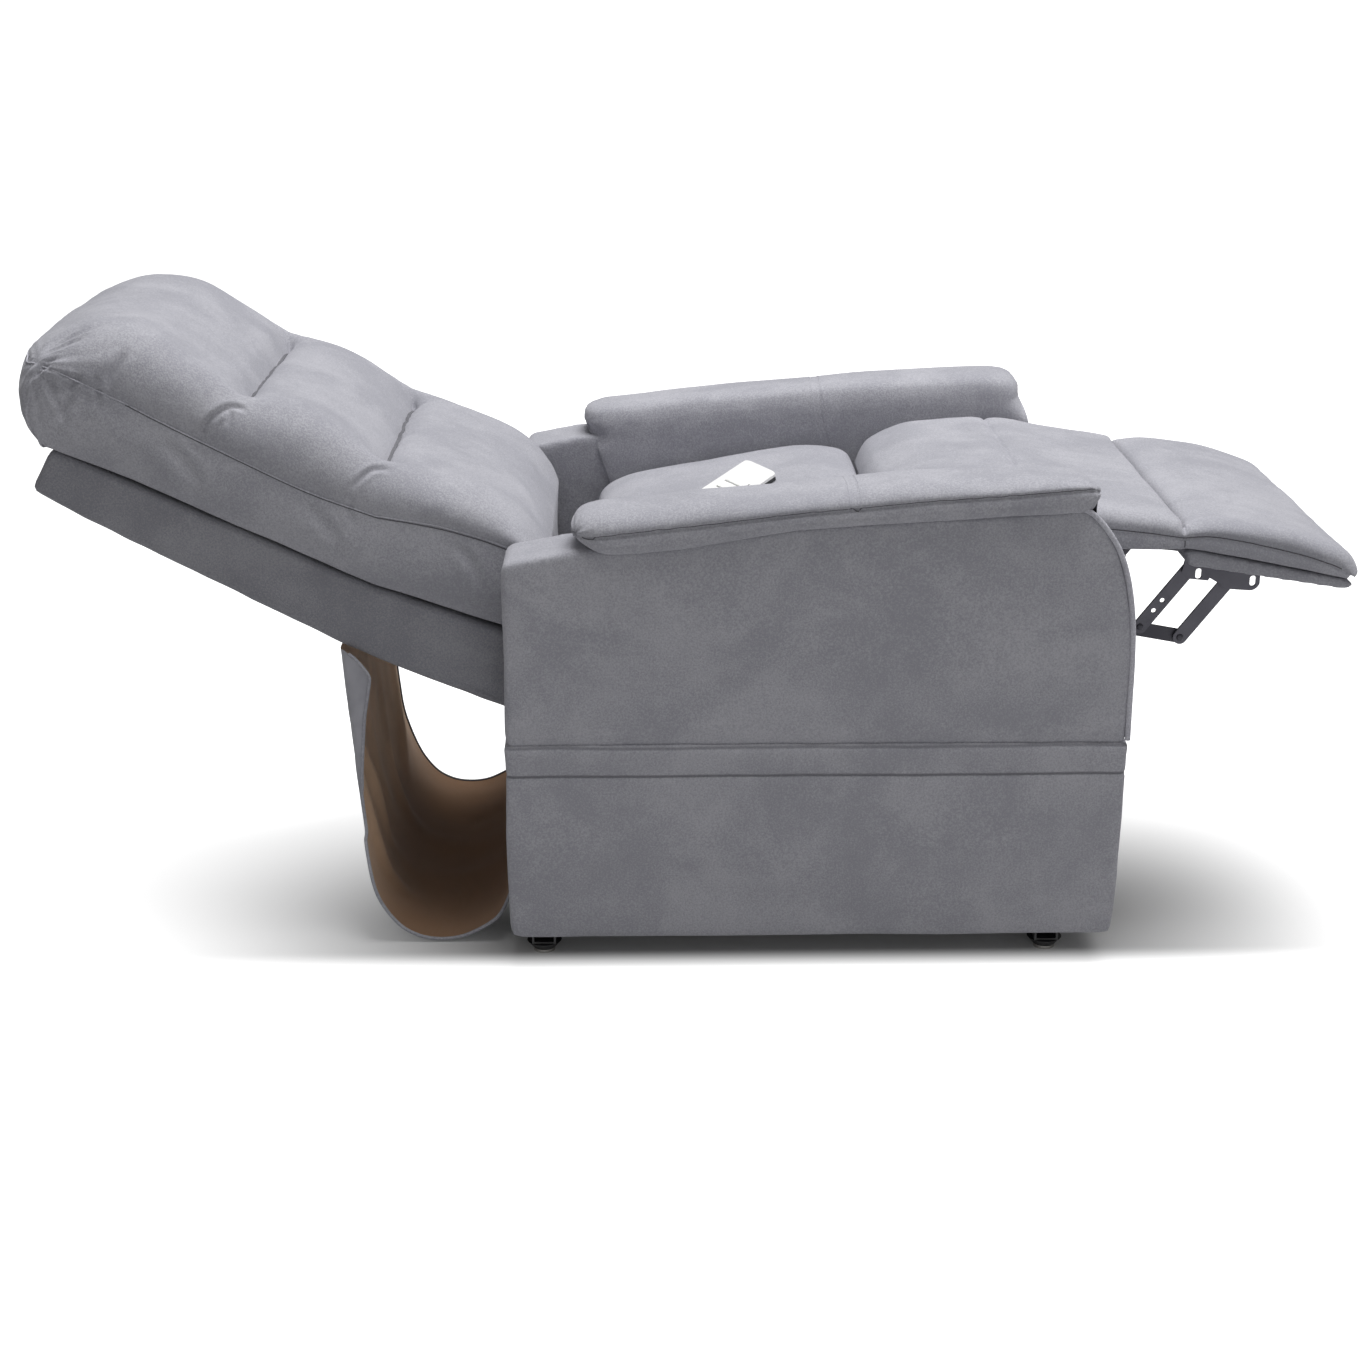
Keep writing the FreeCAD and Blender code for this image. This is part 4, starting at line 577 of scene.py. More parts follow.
def node_tree(name, *sizes):
    """A tree that takes a mesh, some sizes and a material, with its two end nodes."""
    tree = bpy.data.node_groups.new(name, "GeometryNodeTree")
    tree.interface.new_socket("Geometry", in_out="INPUT", socket_type="NodeSocketGeometry")
    for size in sizes:
        tree.interface.new_socket(size, in_out="INPUT", socket_type="NodeSocketFloat")
    tree.interface.new_socket("Material", in_out="INPUT", socket_type="NodeSocketMaterial")
    tree.interface.new_socket("Geometry", in_out="OUTPUT", socket_type="NodeSocketGeometry")
    return tree, tree.nodes.new("NodeGroupInput"), tree.nodes.new("NodeGroupOutput")


def added(tree, kind, values=(), **settings):
    """A new node with its settings and the values of its sockets."""
    node = tree.nodes.new(kind)
    for key, value in settings.items():
        setattr(node, key, value)
    for key, value in values:
        node.inputs[key].default_value = value
    return node


def chain(tree, steps):
    """Links (node, output, node, input) rows."""
    for source, out, target, into in steps:
        tree.links.new(source.outputs[out], target.inputs[into])


def coated(tree, ends, source, socket):
    """Ends a tree: what comes from a socket is made real and given the material."""
    into, out = ends
    real = added(tree, "GeometryNodeRealizeInstances")
    paint = added(tree, "GeometryNodeSetMaterial")
    chain(tree, (
        (source, socket, real, "Geometry"), (real, "Geometry", paint, "Geometry"),
        (into, "Material", paint, "Material"), (paint, "Geometry", out, "Geometry")))
    return tree


@cache
def welt_tree():
    """A round welt along every line of the mesh."""
    tree, into, out = node_tree("welt_along_line", "Radius")
    curve = added(tree, "GeometryNodeMeshToCurve")
    circle = added(tree, "GeometryNodeCurvePrimitiveCircle", (("Resolution", 10),))
    sweep = added(tree, "GeometryNodeCurveToMesh", (("Fill Caps", True),))
    smooth = added(tree, "GeometryNodeSetShadeSmooth")
    chain(tree, (
        (into, "Geometry", curve, "Mesh"), (curve, "Curve", sweep, "Curve"), (into, "Radius", circle, "Radius"),
        (circle, "Curve", sweep, "Profile Curve"), (sweep, "Mesh", smooth, "Geometry")))
    return coated(tree, (into, out), smooth, "Geometry")


@cache
def stitch_tree():
    """Stitches of one length along every line of the mesh, with gaps between them."""
    tree, into, out = node_tree("stitches_along_line", "Length", "Radius")
    curve = added(tree, "GeometryNodeMeshToCurve")
    spaced = added(tree, "GeometryNodeResampleCurve", mode="LENGTH")
    points = added(tree, "GeometryNodeCurveToPoints", mode="EVALUATED")
    step = added(tree, "ShaderNodeMath", ((1, 1.35),), operation="MULTIPLY")
    half = added(tree, "ShaderNodeMath", ((1, 0.5),), operation="MULTIPLY")
    bead = added(tree, "GeometryNodeMeshUVSphere", (("Segments", 6), ("Rings", 5), ("Radius", 1.0)))
    size = added(tree, "ShaderNodeCombineXYZ")
    place = added(tree, "GeometryNodeInstanceOnPoints")
    chain(tree, (
        (into, "Geometry", curve, "Mesh"), (curve, "Curve", spaced, "Curve"), (into, "Length", step, 0),
        (step, 0, spaced, "Length"), (spaced, "Curve", points, "Curve"), (points, "Points", place, "Points"),
        (points, "Rotation", place, "Rotation"), (bead, "Mesh", place, "Instance"), (into, "Length", half, 0),
        (into, "Radius", size, "X"), (into, "Radius", size, "Y"), (half, 0, size, "Z"),
        (size, "Vector", place, "Scale")))
    return coated(tree, (into, out), place, "Instances")


@cache
def rivet_tree():
    """A domed rivet head on every vertex, facing the way of the vertex's facing attribute."""
    tree, into, out = node_tree("rivet_heads", "Radius", "Height")
    facing = added(tree, "GeometryNodeInputNamedAttribute", (("Name", "facing"),), data_type="FLOAT_VECTOR")
    align = added(tree, "FunctionNodeAlignRotationToVector", axis="Z")
    dome = added(tree, "GeometryNodeMeshUVSphere", (("Segments", 20), ("Rings", 10), ("Radius", 1.0)))
    size = added(tree, "ShaderNodeCombineXYZ")
    place = added(tree, "GeometryNodeInstanceOnPoints")
    points = added(tree, "GeometryNodeMeshToPoints")
    smooth = added(tree, "GeometryNodeSetShadeSmooth")
    chain(tree, (
        (into, "Geometry", points, "Mesh"), (points, "Points", place, "Points"),
        (facing, "Attribute", align, "Vector"), (align, "Rotation", place, "Rotation"),
        (dome, "Mesh", place, "Instance"), (into, "Radius", size, "X"), (into, "Radius", size, "Y"),
        (into, "Height", size, "Z"), (size, "Vector", place, "Scale"), (place, "Instances", smooth, "Geometry")))
    return coated(tree, (into, out), smooth, "Geometry")


def run_tree(obj, tree, **inputs):
    """Runs a node tree on an object and leaves the result as its plain mesh."""
    modifier = obj.modifiers.new(tree.name, "NODES")
    modifier.node_group = tree
    for item in tree.interface.items_tree:
        if item.item_type == "SOCKET" and item.in_out == "INPUT" and item.name in inputs:
            modifier[item.identifier] = inputs[item.name]
    return settled(obj)


def lines_object(name, lines):
    """A mesh of plain polylines."""
    points, edges = [], []
    for line in lines:
        start = len(points)
        points.extend(tuple(p) for p in line)
        edges.extend((start + i, start + i + 1) for i in range(len(line) - 1))
    mesh = bpy.data.meshes.new(name)
    mesh.from_pydata(points, edges, [])
    return new_object(name, mesh)


THIN = 0.36                 # radius of a seam's shadow line as a share of the welt's


# A welt is drawn in the lighter velour copy, a painted highlight, unless another finish is given
def welts(name, lines, radius, finish="velour_welt"):
    return run_tree(lines_object(name, lines), welt_tree(), Radius=radius, Material=finish_of(finish))


def stitches(name, lines, length, radius):
    return run_tree(lines_object(name, lines), stitch_tree(), Length=length, Radius=radius,
                    Material=finish_of("seam_thread"))


# Cushions: cross sections of a flat underside, two side walls and a crowned top

def cushion(name, half, lines, edge, wall, across, puff, over, relief=None, tuck=0.0):
    """A boxed cushion from matched lines (underside, seam, crown) of (x, z) in millimetres.

    The top rounds over within edge(i) of the seam and bulges past it by over. The walls swell by puff and
    draw in by tuck at the underside. Relief(i, v) shifts the crown; wall and across are counts of steps.
    """
    rings = []
    spread = np.sin(np.linspace(-1.0, 1.0, across) * math.pi / 2 * 0.97) / math.sin(math.pi / 2 * 0.97)
    down = np.linspace(0.0, 1.0, wall + 2)[1:-1]
    for i, ((ux, uz), (sx, sz), (cx, cz)) in enumerate(zip(*lines)):
        ring = []
        for v in spread:
            into = max(abs(v) * half - half + edge(i), 0.0) / edge(i)
            rise = (1.0 - min(into, 1.0) ** 2.5) ** 0.5
            wide = half + 4.0 * over * rise * (1.0 - rise)
            x, z = sx + rise * (cx - sx), sz + rise * (cz - sz)
            if relief:
                dx, dz = relief(i, v)
                x, z = x + rise * dx, z + rise * dz
            ring.append((x * MM, v * wide * MM, z * MM))
        for side, steps in ((1.0, down), (-1.0, down[::-1])):
            for t in steps:
                bulge = puff * math.sin(math.pi * t) ** 1.2 - tuck * max((t - 0.62) / 0.38, 0.0) ** 2.2
                ring.append(((sx + t * (ux - sx)) * MM, side * (half + bulge) * MM, (sz + t * (uz - sz)) * MM))
            if side > 0:
                ring.extend((ux * MM, w * (half - tuck) * MM, uz * MM) for w in np.linspace(1.0, -1.0, 13))
        rings.append(ring)
    return tube_of_rings(name, rings)


DRAWN_CHANNEL = 0.022       # depth at which the channelled crown is drawn


def back_lines():
    """Matched underside, seam, full crown and channelled crown of the back cushion, and its two channels."""
    counts = (44, 40, 60)
    head = [(-673, 781), (-728, 791), (-770, 785), (-814, 764), (-834, 728), (-832, 692), (-816, 664), (-794, 645)]
    under = pieced_path(
        counts, [(-186, 391), (-402, 466.5)], [(-402, 466.5), (-570, 543)],
        [(-570, 543), (-780, 638.5), (-790, 643)])
    seam = pieced_path(
        counts, [(-187, 455), (-203, 495), (-238, 517), (-312, 541), (-394, 557)],
        [(-394, 557), (-478, 589), (-561, 630)],
        [(-561, 630), (-648, 675), (-719, 714), (-758, 733), (-788, 728), (-806, 705), (-809, 675), (-793, 645)])
    full = pieced_path(
        counts, [(-183.4, 488), (-197, 516), (-224, 551), (-266, 580), (-335, 607), (-391, 628)],
        [(-391, 628), (-431, 655), (-472, 680), (-514, 695), (-557, 708)], [(-557, 708), (-608, 742)] + head)
    sunk = pieced_path(
        counts,
        [(-183.4, 488), (-197, 516), (-224, 551), (-266, 580), (-325, 603), (-358, 611), (-380, 606), (-388, 598)],
        [(-388, 598), (-395, 614), (-414, 640), (-446, 665), (-485, 686), (-522, 695), (-547, 690), (-558, 677)],
        [(-558, 677), (-564, 693), (-578, 717), (-620, 748)] + head)
    return under, seam, full, sunk, (counts[0] - 1, counts[0] + counts[1] - 2)


# Drawn folds on the near side of the back cushion: (points in side view, depth, width)
BACK_FOLDS = (
    (((-690, 765), (-702, 743), (-714, 719)), 4.2, 6),
    (((-792, 770), (-757, 790), (-722, 808)), 3.6, 3.6),
    (((-789, 764), (-769, 774), (-746, 784)), 3.2, 3.4),
    (((-791, 773), (-774, 788), (-754, 804)), 2.6, 3),
    (((-774, 758), (-790, 744), (-805, 729)), 3.4, 4),
    (((-743, 736), (-752, 725), (-761, 713)), 3.2, 4),
    (((-781, 734), (-779, 722), (-777, 708)), 3, 4.2),
    (((-721, 719), (-723, 709), (-727, 699)), 2.2, 3.4),
    (((-758, 704), (-765, 692), (-772, 679)), 3.2, 5),
    (((-550, 694), (-562, 698), (-573, 695), (-587, 683), (-596, 671), (-605, 657)), 4.6, 3.4),
    (((-567, 693), (-567, 684), (-571, 673)), 2.4, 3),
    (((-377, 620), (-389, 621), (-399, 618), (-409, 609), (-421, 594)), 3.4, 3.4),
    (((-422, 581), (-427, 564), (-424, 549)), 1.8, 5),
    (((-298, 521), (-280, 502), (-269, 470)), 2, 7),
    (((-652, 655), (-618, 617), (-608, 580)), 1.8, 9),
    (((-486, 579), (-451, 541), (-441, 503)), 1.6, 9),
)


HEAD_EDGE = ((-766, 256.5, 735.5), (-784, 252, 742), (-802, 243, 748), (-817, 230, 751), (-826, 212, 753),
             (-830, 190, 754), (-832.5, 150, 754), (-833, 60, 754), (-833, 0, 754))
HEAD_CORNER = (-800, 246, 748)


class RECLINER_OT_back_cushion(bpy.types.Operator):
    """Builds the back cushion with its two sewn channels"""

    bl_idname = "recliner.back_cushion"
    bl_label = "Back cushion"

    def execute(self, context):
        look = context.scene.upholstery
        under, seam, full, sunk, valleys = back_lines()
        half = 257.0
        channel_end = 0.735

        def relief(i, v):
            held = 1.0 - step_up(channel_end - 0.02, channel_end + 0.13, abs(v))
            dx, dz = (sunk[i] - full[i]) * held * look.channel / DRAWN_CHANNEL
            for valley in valleys:
                gap, reach = i - valley, abs(v) - channel_end
                ruck = noise.noise(Vector((v * 10.0, valley, 3.0)))
                ruck += 0.6 * noise.noise(Vector((v * 23.0, valley, 7.0)))
                near = math.exp(-(abs(gap) / 4.0) ** 1.3) * held
                button = math.exp(-(reach / 0.05) ** 2 - (gap / 2.6) ** 2)
                fan = noise.noise(Vector((math.atan2(gap * 0.02, reach) * 2.6, valley, 11.0)))
                fan *= math.exp(-math.hypot(gap / 7.0, reach / 0.13)) * step_up(-0.1, 0.02, reach)
                drop = 2.0 * ruck * near - 6.0 * button + 5.0 * fan
                dx, dz = dx - 0.4 * drop, dz + drop
            return dx, dz

        def edge_width(i):
            return 72.0 + 62.0 * step_up(valleys[1] + 18, valleys[1] + 44, i)

        obj = cushion("back_cushion", half, (under, seam, full), edge_width, wall=14, across=121, puff=4.5,
                      over=5.0, relief=relief, tuck=7.0)
        subdivided(obj)
        turn = len(seam) - 34
        edges = []
        for side in SIDES:
            run = [(x, side * (half + 0.4), z + 0.4) for x, z in seam[4:turn]]
            run += [(x, side * y, z) for x, y, z in HEAD_EDGE]
            edges.append([Vector(p) * MM for p in run])
        gap_to = distance_to(edges)
        pull = pulled_by(BACK_FOLDS, 260.0)
        x, y, z = HEAD_CORNER
        corners = [Vector((x, side * y, z)) * MM for side in SIDES]

        def slack(p, n):
            amount = ripples(p, 4.0, 0.0022, 0.0005) - 0.0006
            away = gap_to(p)
            amount -= 0.0012 * bell(away, 0.0024)
            amount -= pull(p) * step_up(0.10, 0.17, abs(p.y)) * (1.15 if p.y < 0 else 0.35)
            amount += 0.0010 * math.exp(-away / 0.02) * folds(p, 0.018, 15.0)
            for corner in corners:
                out = p - corner
                far = out.length
                angle = math.atan2(out.z, abs(out.y) * 0.3 + out.x)
                gather = noise.noise(Vector((angle * 5.5, corner.y * 40.0, far * 4.0)))
                amount += 0.0060 * gather * math.exp(-far / 0.05) * step_up(0.0, 0.02, far)
            on_top = p.z > 0.67 or p.x > -0.76
            return amount * (1.0 if on_top else 0.25)

        moved_points(obj, slack)
        upholster(obj, "velour_back", "back", ("head_puff", "middle_puff", "lumbar_puff"))
        piping = [path_through(laid_on(obj, edge, 0.0003), 260) for edge in edges]
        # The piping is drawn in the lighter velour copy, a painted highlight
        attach(welts("back_cushion_seam", piping, look.welt * 0.42), "back")
        below = Vector((0, 0, 0.0017))
        sides = [[p - below for p in edge[:-len(HEAD_EDGE)]] for edge in edges]
        shadows = [path_through(laid_on(obj, side, -0.0001), 260) for side in sides]
        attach(welts("back_cushion_shadow_lines", shadows, look.welt * THIN, "velour_seam"), "back")
        # Dark tubes laid in the bottoms of the two channels: painted shade in the creases
        creases = []
        for valley in valleys:
            x = sunk[valley][0] * MM
            crease = [lowest_near(obj, x, y * MM, 0.010, 0.0008) for y in np.linspace(-186.0, 186.0, 32)]
            creases.append(path_through(crease, 200))
        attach(welts("back_cushion_channels", creases, look.welt * 1.25, "velour_seam"), "back")
        rows = [laid_on(obj, line_at(side * (half - 3.5), seam[10:turn], 3.0), 0.0002) for side in SIDES]
        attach(stitches("back_cushion_stitches", rows, look.stitch * 0.8, 0.0004), "back")
        return {"FINISHED"}


class RECLINER_OT_back_shell(bpy.types.Operator):
    """Builds the upholstered back panel behind the cushion"""

    bl_idname = "recliner.back_shell"
    bl_label = "Back shell"

    def execute(self, context):
        outline = rounded_outline([
            (-160, 378, 6), (-168, 274, 6), (-244.2, 305, 400), (-372.4, 356.3, 600), (-446.5, 390.5, 600),
            (-615.6, 479.8, 600), (-760, 556, 500), (-817, 590.5, 11), (-788.5, 642.5, 16), (-770, 634, 30),
            (-600, 555, 600), (-402, 465, 600)], 7.0)
        obj = swept_block("back_shell_cover", outline, both_sides(252.0, 9.0, 27))
        rim = distance_to([[Vector((x, side * 250.0, z)) * MM for x, z in outline] for side in SIDES])

        def slack(p, n):
            pull = 0.0009 * math.exp(-rim(p) / 0.02) * folds(p, 0.03, 17.0)
            return ripples(p, 11.0, 0.0011, 0.0004) + pull - 0.0008

        moved_points(obj, slack)
        upholster(obj, "velour_shell", "back", ("back_shell",))
        return {"FINISHED"}


HANDSET_PLACE = (0.046, 0.02)       # the seat stays flat under the handset


class RECLINER_OT_seat_cushion(bpy.types.Operator):
    """Builds the seat cushion"""

    bl_idname = "recliner.seat_cushion"
    bl_label = "Seat cushion"

    def execute(self, context):
        count = 90
        under = path_through([(-116, 419), (237, 468)], count)
        seam = path_through(
            [(-128, 440), (-116, 457), (-70, 474), (118, 508), (162, 514), (200, 510), (226, 503), (236, 488)],
            count)
        crown = path_through(
            [(-131, 452), (-123, 472), (-100, 488), (-52, 502), (118, 531.5), (165, 537), (205, 534), (227, 525),
             (236, 510)], count)
        obj = cushion("seat_cushion_cover", 255.0, (under, seam, crown), lambda i: 30.0, wall=5, across=75,
                      puff=1.0, over=2.0)

        def slack(p, n):
            ruck = 0.0016 * bell(p.x - 0.2, 0.05) * folds(Vector((p.x * 0.4, p.y, 0)), 0.03, 5.0)
            x, y = HANDSET_PLACE
            flat = 0.25 if abs(p.x - x) < 0.12 and abs(p.y - y) < 0.12 else 1.0
            return (ripples(p, 21.0, 0.0018) * flat + ruck * flat) - 0.001

        moved_points(obj, slack)
        subdivided(obj)
        upholster(obj, "velour", "seat", ("seat_cushion",))
        return {"FINISHED"}


def chaise_lines():
    """Matched underside, seam and crown of the pad from the seat to the feet, and the channel over the hinge."""
    counts = (62, 56, 78)
    under = pieced_path(
        counts, [(238, 468), (300, 473), (396, 487), (398.5, 500), (405, 510.5), (423, 512)],
        [(423, 512), (445, 509), (500, 508.5), (604, 508.5)],
        [(604, 508.5), (620, 508), (700, 492.5), (790, 474), (817, 469)])
    seam = pieced_path(
        counts, [(238, 488), (246, 502), (262, 515), (290, 526), (345, 539), (385, 545), (423, 545)],
        [(423, 545), (450, 544), (495, 538), (560, 531), (606, 524)],
        [(606, 524), (640, 525), (690, 517), (753, 502), (790, 490), (812, 480), (821, 473)])
    crown = pieced_path(
        counts, [(238, 508), (247, 533), (262, 549), (304, 567), (345, 572), (390, 575), (423, 574)],
        [(423, 574), (455, 573), (487, 567), (540, 558), (580, 552), (600, 547), (606, 539), (608, 519)],
        [(608, 519), (611, 532), (620, 541), (645, 545), (684, 542), (740, 532), (795, 514), (815, 505), (828, 492),
         (834, 475), (826, 468.5)])
    return under, seam, crown, counts[0] + counts[1] - 2


BRIDGE_SEAM = 0.423                 # x of the seam between front roll and bridge


class RECLINER_OT_chaise_pad(bpy.types.Operator):
    """Builds the pad that covers the front roll, the hinge and the legrest"""

    bl_idname = "recliner.chaise_pad"
    bl_label = "Chaise pad"

    def execute(self, context):
        look = context.scene.upholstery
        under, seam, crown, channel = chaise_lines()
        half = 256.0

        def relief(i, v):
            near = abs(i - channel)
            ruck = noise.noise(Vector((v * 11.0, i * 0.05, 13.0)))
            filled = 15.0 * bell(near, 5.0) * max(step_up(0.84, 0.98, v), step_up(0.82, 0.95, -v))
            return 0.0, 2.6 * ruck * math.exp(-near / 4.0) + filled

        obj = cushion("chaise_pad", half, (under, seam, crown), lambda i: 27.0, wall=7, across=101, puff=1.5,
                      over=3.5, relief=relief)

        def slack(p, n):
            groove = plump = 0.0
            if n.z > 0.2:
                groove = 0.0028 * bell(p.x - BRIDGE_SEAM, 0.0032)
                plump = 0.0012 * (bell(p.x - 0.406, 0.013) + bell(p.x - 0.440, 0.013))
            return ripples(p, 31.0, 0.0017) - groove + plump - 0.001

        subdivided(obj)
        moved_points(obj, slack)
        upholster(obj, "velour", None, ("front_roll", "bridge_pad", "footrest_pad"))
        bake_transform(obj)
        shadows = [laid_on(obj, line_at(side * (half + 0.5), seam[30:-6], 0.4), 0.0002) for side in SIDES]
        x, z = crown[channel]
        shadows.append([lowest_near(obj, x * MM, y * MM, 0.010, 0.0003) for y in np.linspace(-240.0, 190.0, 36)])
        for side in SIDES:
            heights = np.linspace(512.0, z + 3.0, 12)
            shadows.append(laid_on(obj, [Vector((x * MM, side * (half + 4.0) * MM, h * MM)) for h in heights], 0.0))
        lines = welts("chaise_shadow_lines", [path_through(line, 180) for line in shadows], look.welt * THIN,
                      "velour_seam")
        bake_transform(lines)
        return {"FINISHED"}


# Arms

def rounding(y_out, radius, count):
    """Stations round an outer edge: (y, how far the outline draws in)."""
    return [(y_out - radius + radius * math.sin(a), radius * (1 - math.cos(a)))
            for a in np.linspace(0, math.pi / 2, count)]


def both_sides(half, radius, inner):
    """Stations across a block with its two sides rounded."""
    outer = rounding(half, radius, 6)
    middle = [(y, 0.0) for y in np.linspace(-(half - radius), half - radius, inner + 2)[1:-1]]
    return [(-y, inset) for y, inset in reversed(outer)] + middle + outer


def one_side(y_in, y_out, radius, dome):
    """Stations from an inner face with eased edges to an outer one that is rounded and slightly domed."""
    straight = [(y_in, 3.0), (y_in + 0.9, 0.9), (y_in + 3.0, 0.0)]
    straight += [(y, 0.0) for y in np.linspace(y_in + 3.0, y_out - radius, 4)[1:]]
    turn = rounding(y_out, radius, 7)[1:]
    return straight + turn + [(y_out + dome * k / 3, radius + 9.0 * k) for k in (1, 2, 3)]


def swept_block(name, outline, stations, sign=1.0):
    """A closed outline in XZ carried across Y, drawn in by each station's amount."""
    along = np.roll(outline, -1, axis=0) - np.roll(outline, 1, axis=0)
    along /= np.linalg.norm(along, axis=1)[:, None]
    inward = np.stack([-along[:, 1], along[:, 0]], axis=1)
    x, z = outline[:, 0], outline[:, 1]
    if (x * np.roll(z, -1) - z * np.roll(x, -1)).sum() < 0:
        inward = -inward
    rings = [[(px * MM, y * sign * MM, pz * MM) for px, pz in outline + inward * inset] for y, inset in stations]
    return tube_of_rings(name, rings)


ARM_SIDES = (("left", 1.0), ("right", -1.0))
ARM_INNER = 270.2           # half width to an arm's inner face
COVER_JOINT = 0.296         # height at which the upper cover tucks in over the lower one
ARM_VOXEL = 0.0055
# The arm's top from the rear, and its front as (x, z, radius)
ARM_TOP = ((-226, 526.0), (-190, 535.0), (-160, 540.5), (-110, 543.5), (-50, 547.0), (40, 560.0), (120, 571.0),
           (240, 579.5), (356, 584.0), (457, 587.5))
FRONT_CURVE = ((457, 592.0, 10), (472, 583.5, 30), (490, 563.5, 60), (506, 537, 90), (518, 500, 120),
               (525.6, 452, 200), (528, 400, 300))


class RECLINER_OT_arms(bpy.types.Operator):
    """Builds both arms: upper cover, lower band and the welt round the front"""

    bl_idname = "recliner.arms"
    bl_label = "Arms"

    def execute(self, context):
        look = context.scene.upholstery
        upper = rounded_outline(
            [(528, 290.5, 3), (-236.5, 290.5, 3), (-236.5, 526, 13)] + [(x, z, 60) for x, z in ARM_TOP[1:-1]]
            + list(FRONT_CURVE), 6.0)
        band = rounded_outline([(-237.5, 296.5, 3), (-237.5, 120, 200), (-235.5, 39, 17), (521, 39, 10),
                                (526.5, 120, 200), (529, 296.5, 3)], 6.0)
        for side, sign in ARM_SIDES:
            top = swept_block("arm_cover_" + side, upper, one_side(ARM_INNER, 369.6, 7.0, 1.2), sign)
            even_mesh(top, ARM_VOXEL, 3)

            def waves(p, n, seed=41.0 + sign):
                above = p.z - COVER_JOINT
                low = math.exp(-max(above, 0.0) / 0.012)
                flow = 0.0018 * folds(Vector((p.x * 0.5, p.y, p.z * 1.3)), 0.16, seed)
                pulls = 0.0007 * math.exp(-above / 0.05) * folds(Vector((p.x, 0, p.z * 0.3)), 0.035, seed)
                return flow + pulls + ripples(p, seed, 0.0007, 0.00035) - 0.0022 * low - 0.0004

            moved_points(top, waves)
            upholster(top, "velour", "chassis", ("arm_panel_" + side, "arm_board_" + side))
            lower = swept_block("arm_band_cover_" + side, band, one_side(ARM_INNER, 372.3, 6.5, 0.6), sign)
            even_mesh(lower, ARM_VOXEL, 3)

            def lower_waves(p, n, seed=51.0 + sign):
                gap = p.z - BAND_SEAM
                hem = 0.0016 * bell(gap, 0.004)
                rim = 0.0012 * bell(p.z - 0.290, 0.008) * (0.6 + folds(Vector((p.x, 0, 0)), 0.04, seed))
                pulls = 0.0006 * math.exp(-abs(gap) / 0.018) * folds(Vector((p.x, 0, p.z * 0.3)), 0.022, seed)
                return ripples(p, seed, 0.0012, 0.0003) - hem + rim + pulls - 0.0004

            moved_points(lower, lower_waves)
            upholster(lower, "velour_band", "chassis", ("arm_band_" + side,))
            front = path_through([corner[:2] for corner in FRONT_CURVE] + [(528, 350), (528, 299)], 90)
            line = [((x - 0.6) * MM, sign * 366.4 * MM, (z - 0.7) * MM) for x, z in front]
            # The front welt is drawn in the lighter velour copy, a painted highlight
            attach(welts("arm_welt_" + side, [line], look.welt * 1.6), "chassis")
        return {"FINISHED"}


# Heights along a pad, by x: its crest, its seam and its lower lip
PAD_CREST = ((-152, 584), (-140, 588), (-118, 591), (-57, 595.5), (3, 603), (123.5, 613), (183, 619), (244, 624),
             (365, 629), (425, 631), (466, 631), (484, 629))
PAD_SEAM = ((-152, 556), (-30, 569.5), (52, 579), (123, 587.5), (193, 593.5), (276, 602), (374, 608), (450, 615),
            (487, 616))
PAD_LIP = ((-152, 535), (-130, 536), (-81, 538.5), (-30, 543), (52, 556), (123, 567), (193, 571.5), (277, 576.5),
           (376, 582.5), (450, 586), (472, 584), (484, 578))
PAD_REAR, PAD_FRONT = -152.0, 484.0
PAD_MIDDLE, FLAP_MIDDLE = 326.0, 266.0      # half widths to the middle of a pad and of its inner flap
SEAM_STEP = 13              # index of the seam in a pad's section


def read_line(line, x):
    return float(np.interp(x, [p[0] for p in line], [p[1] for p in line]))


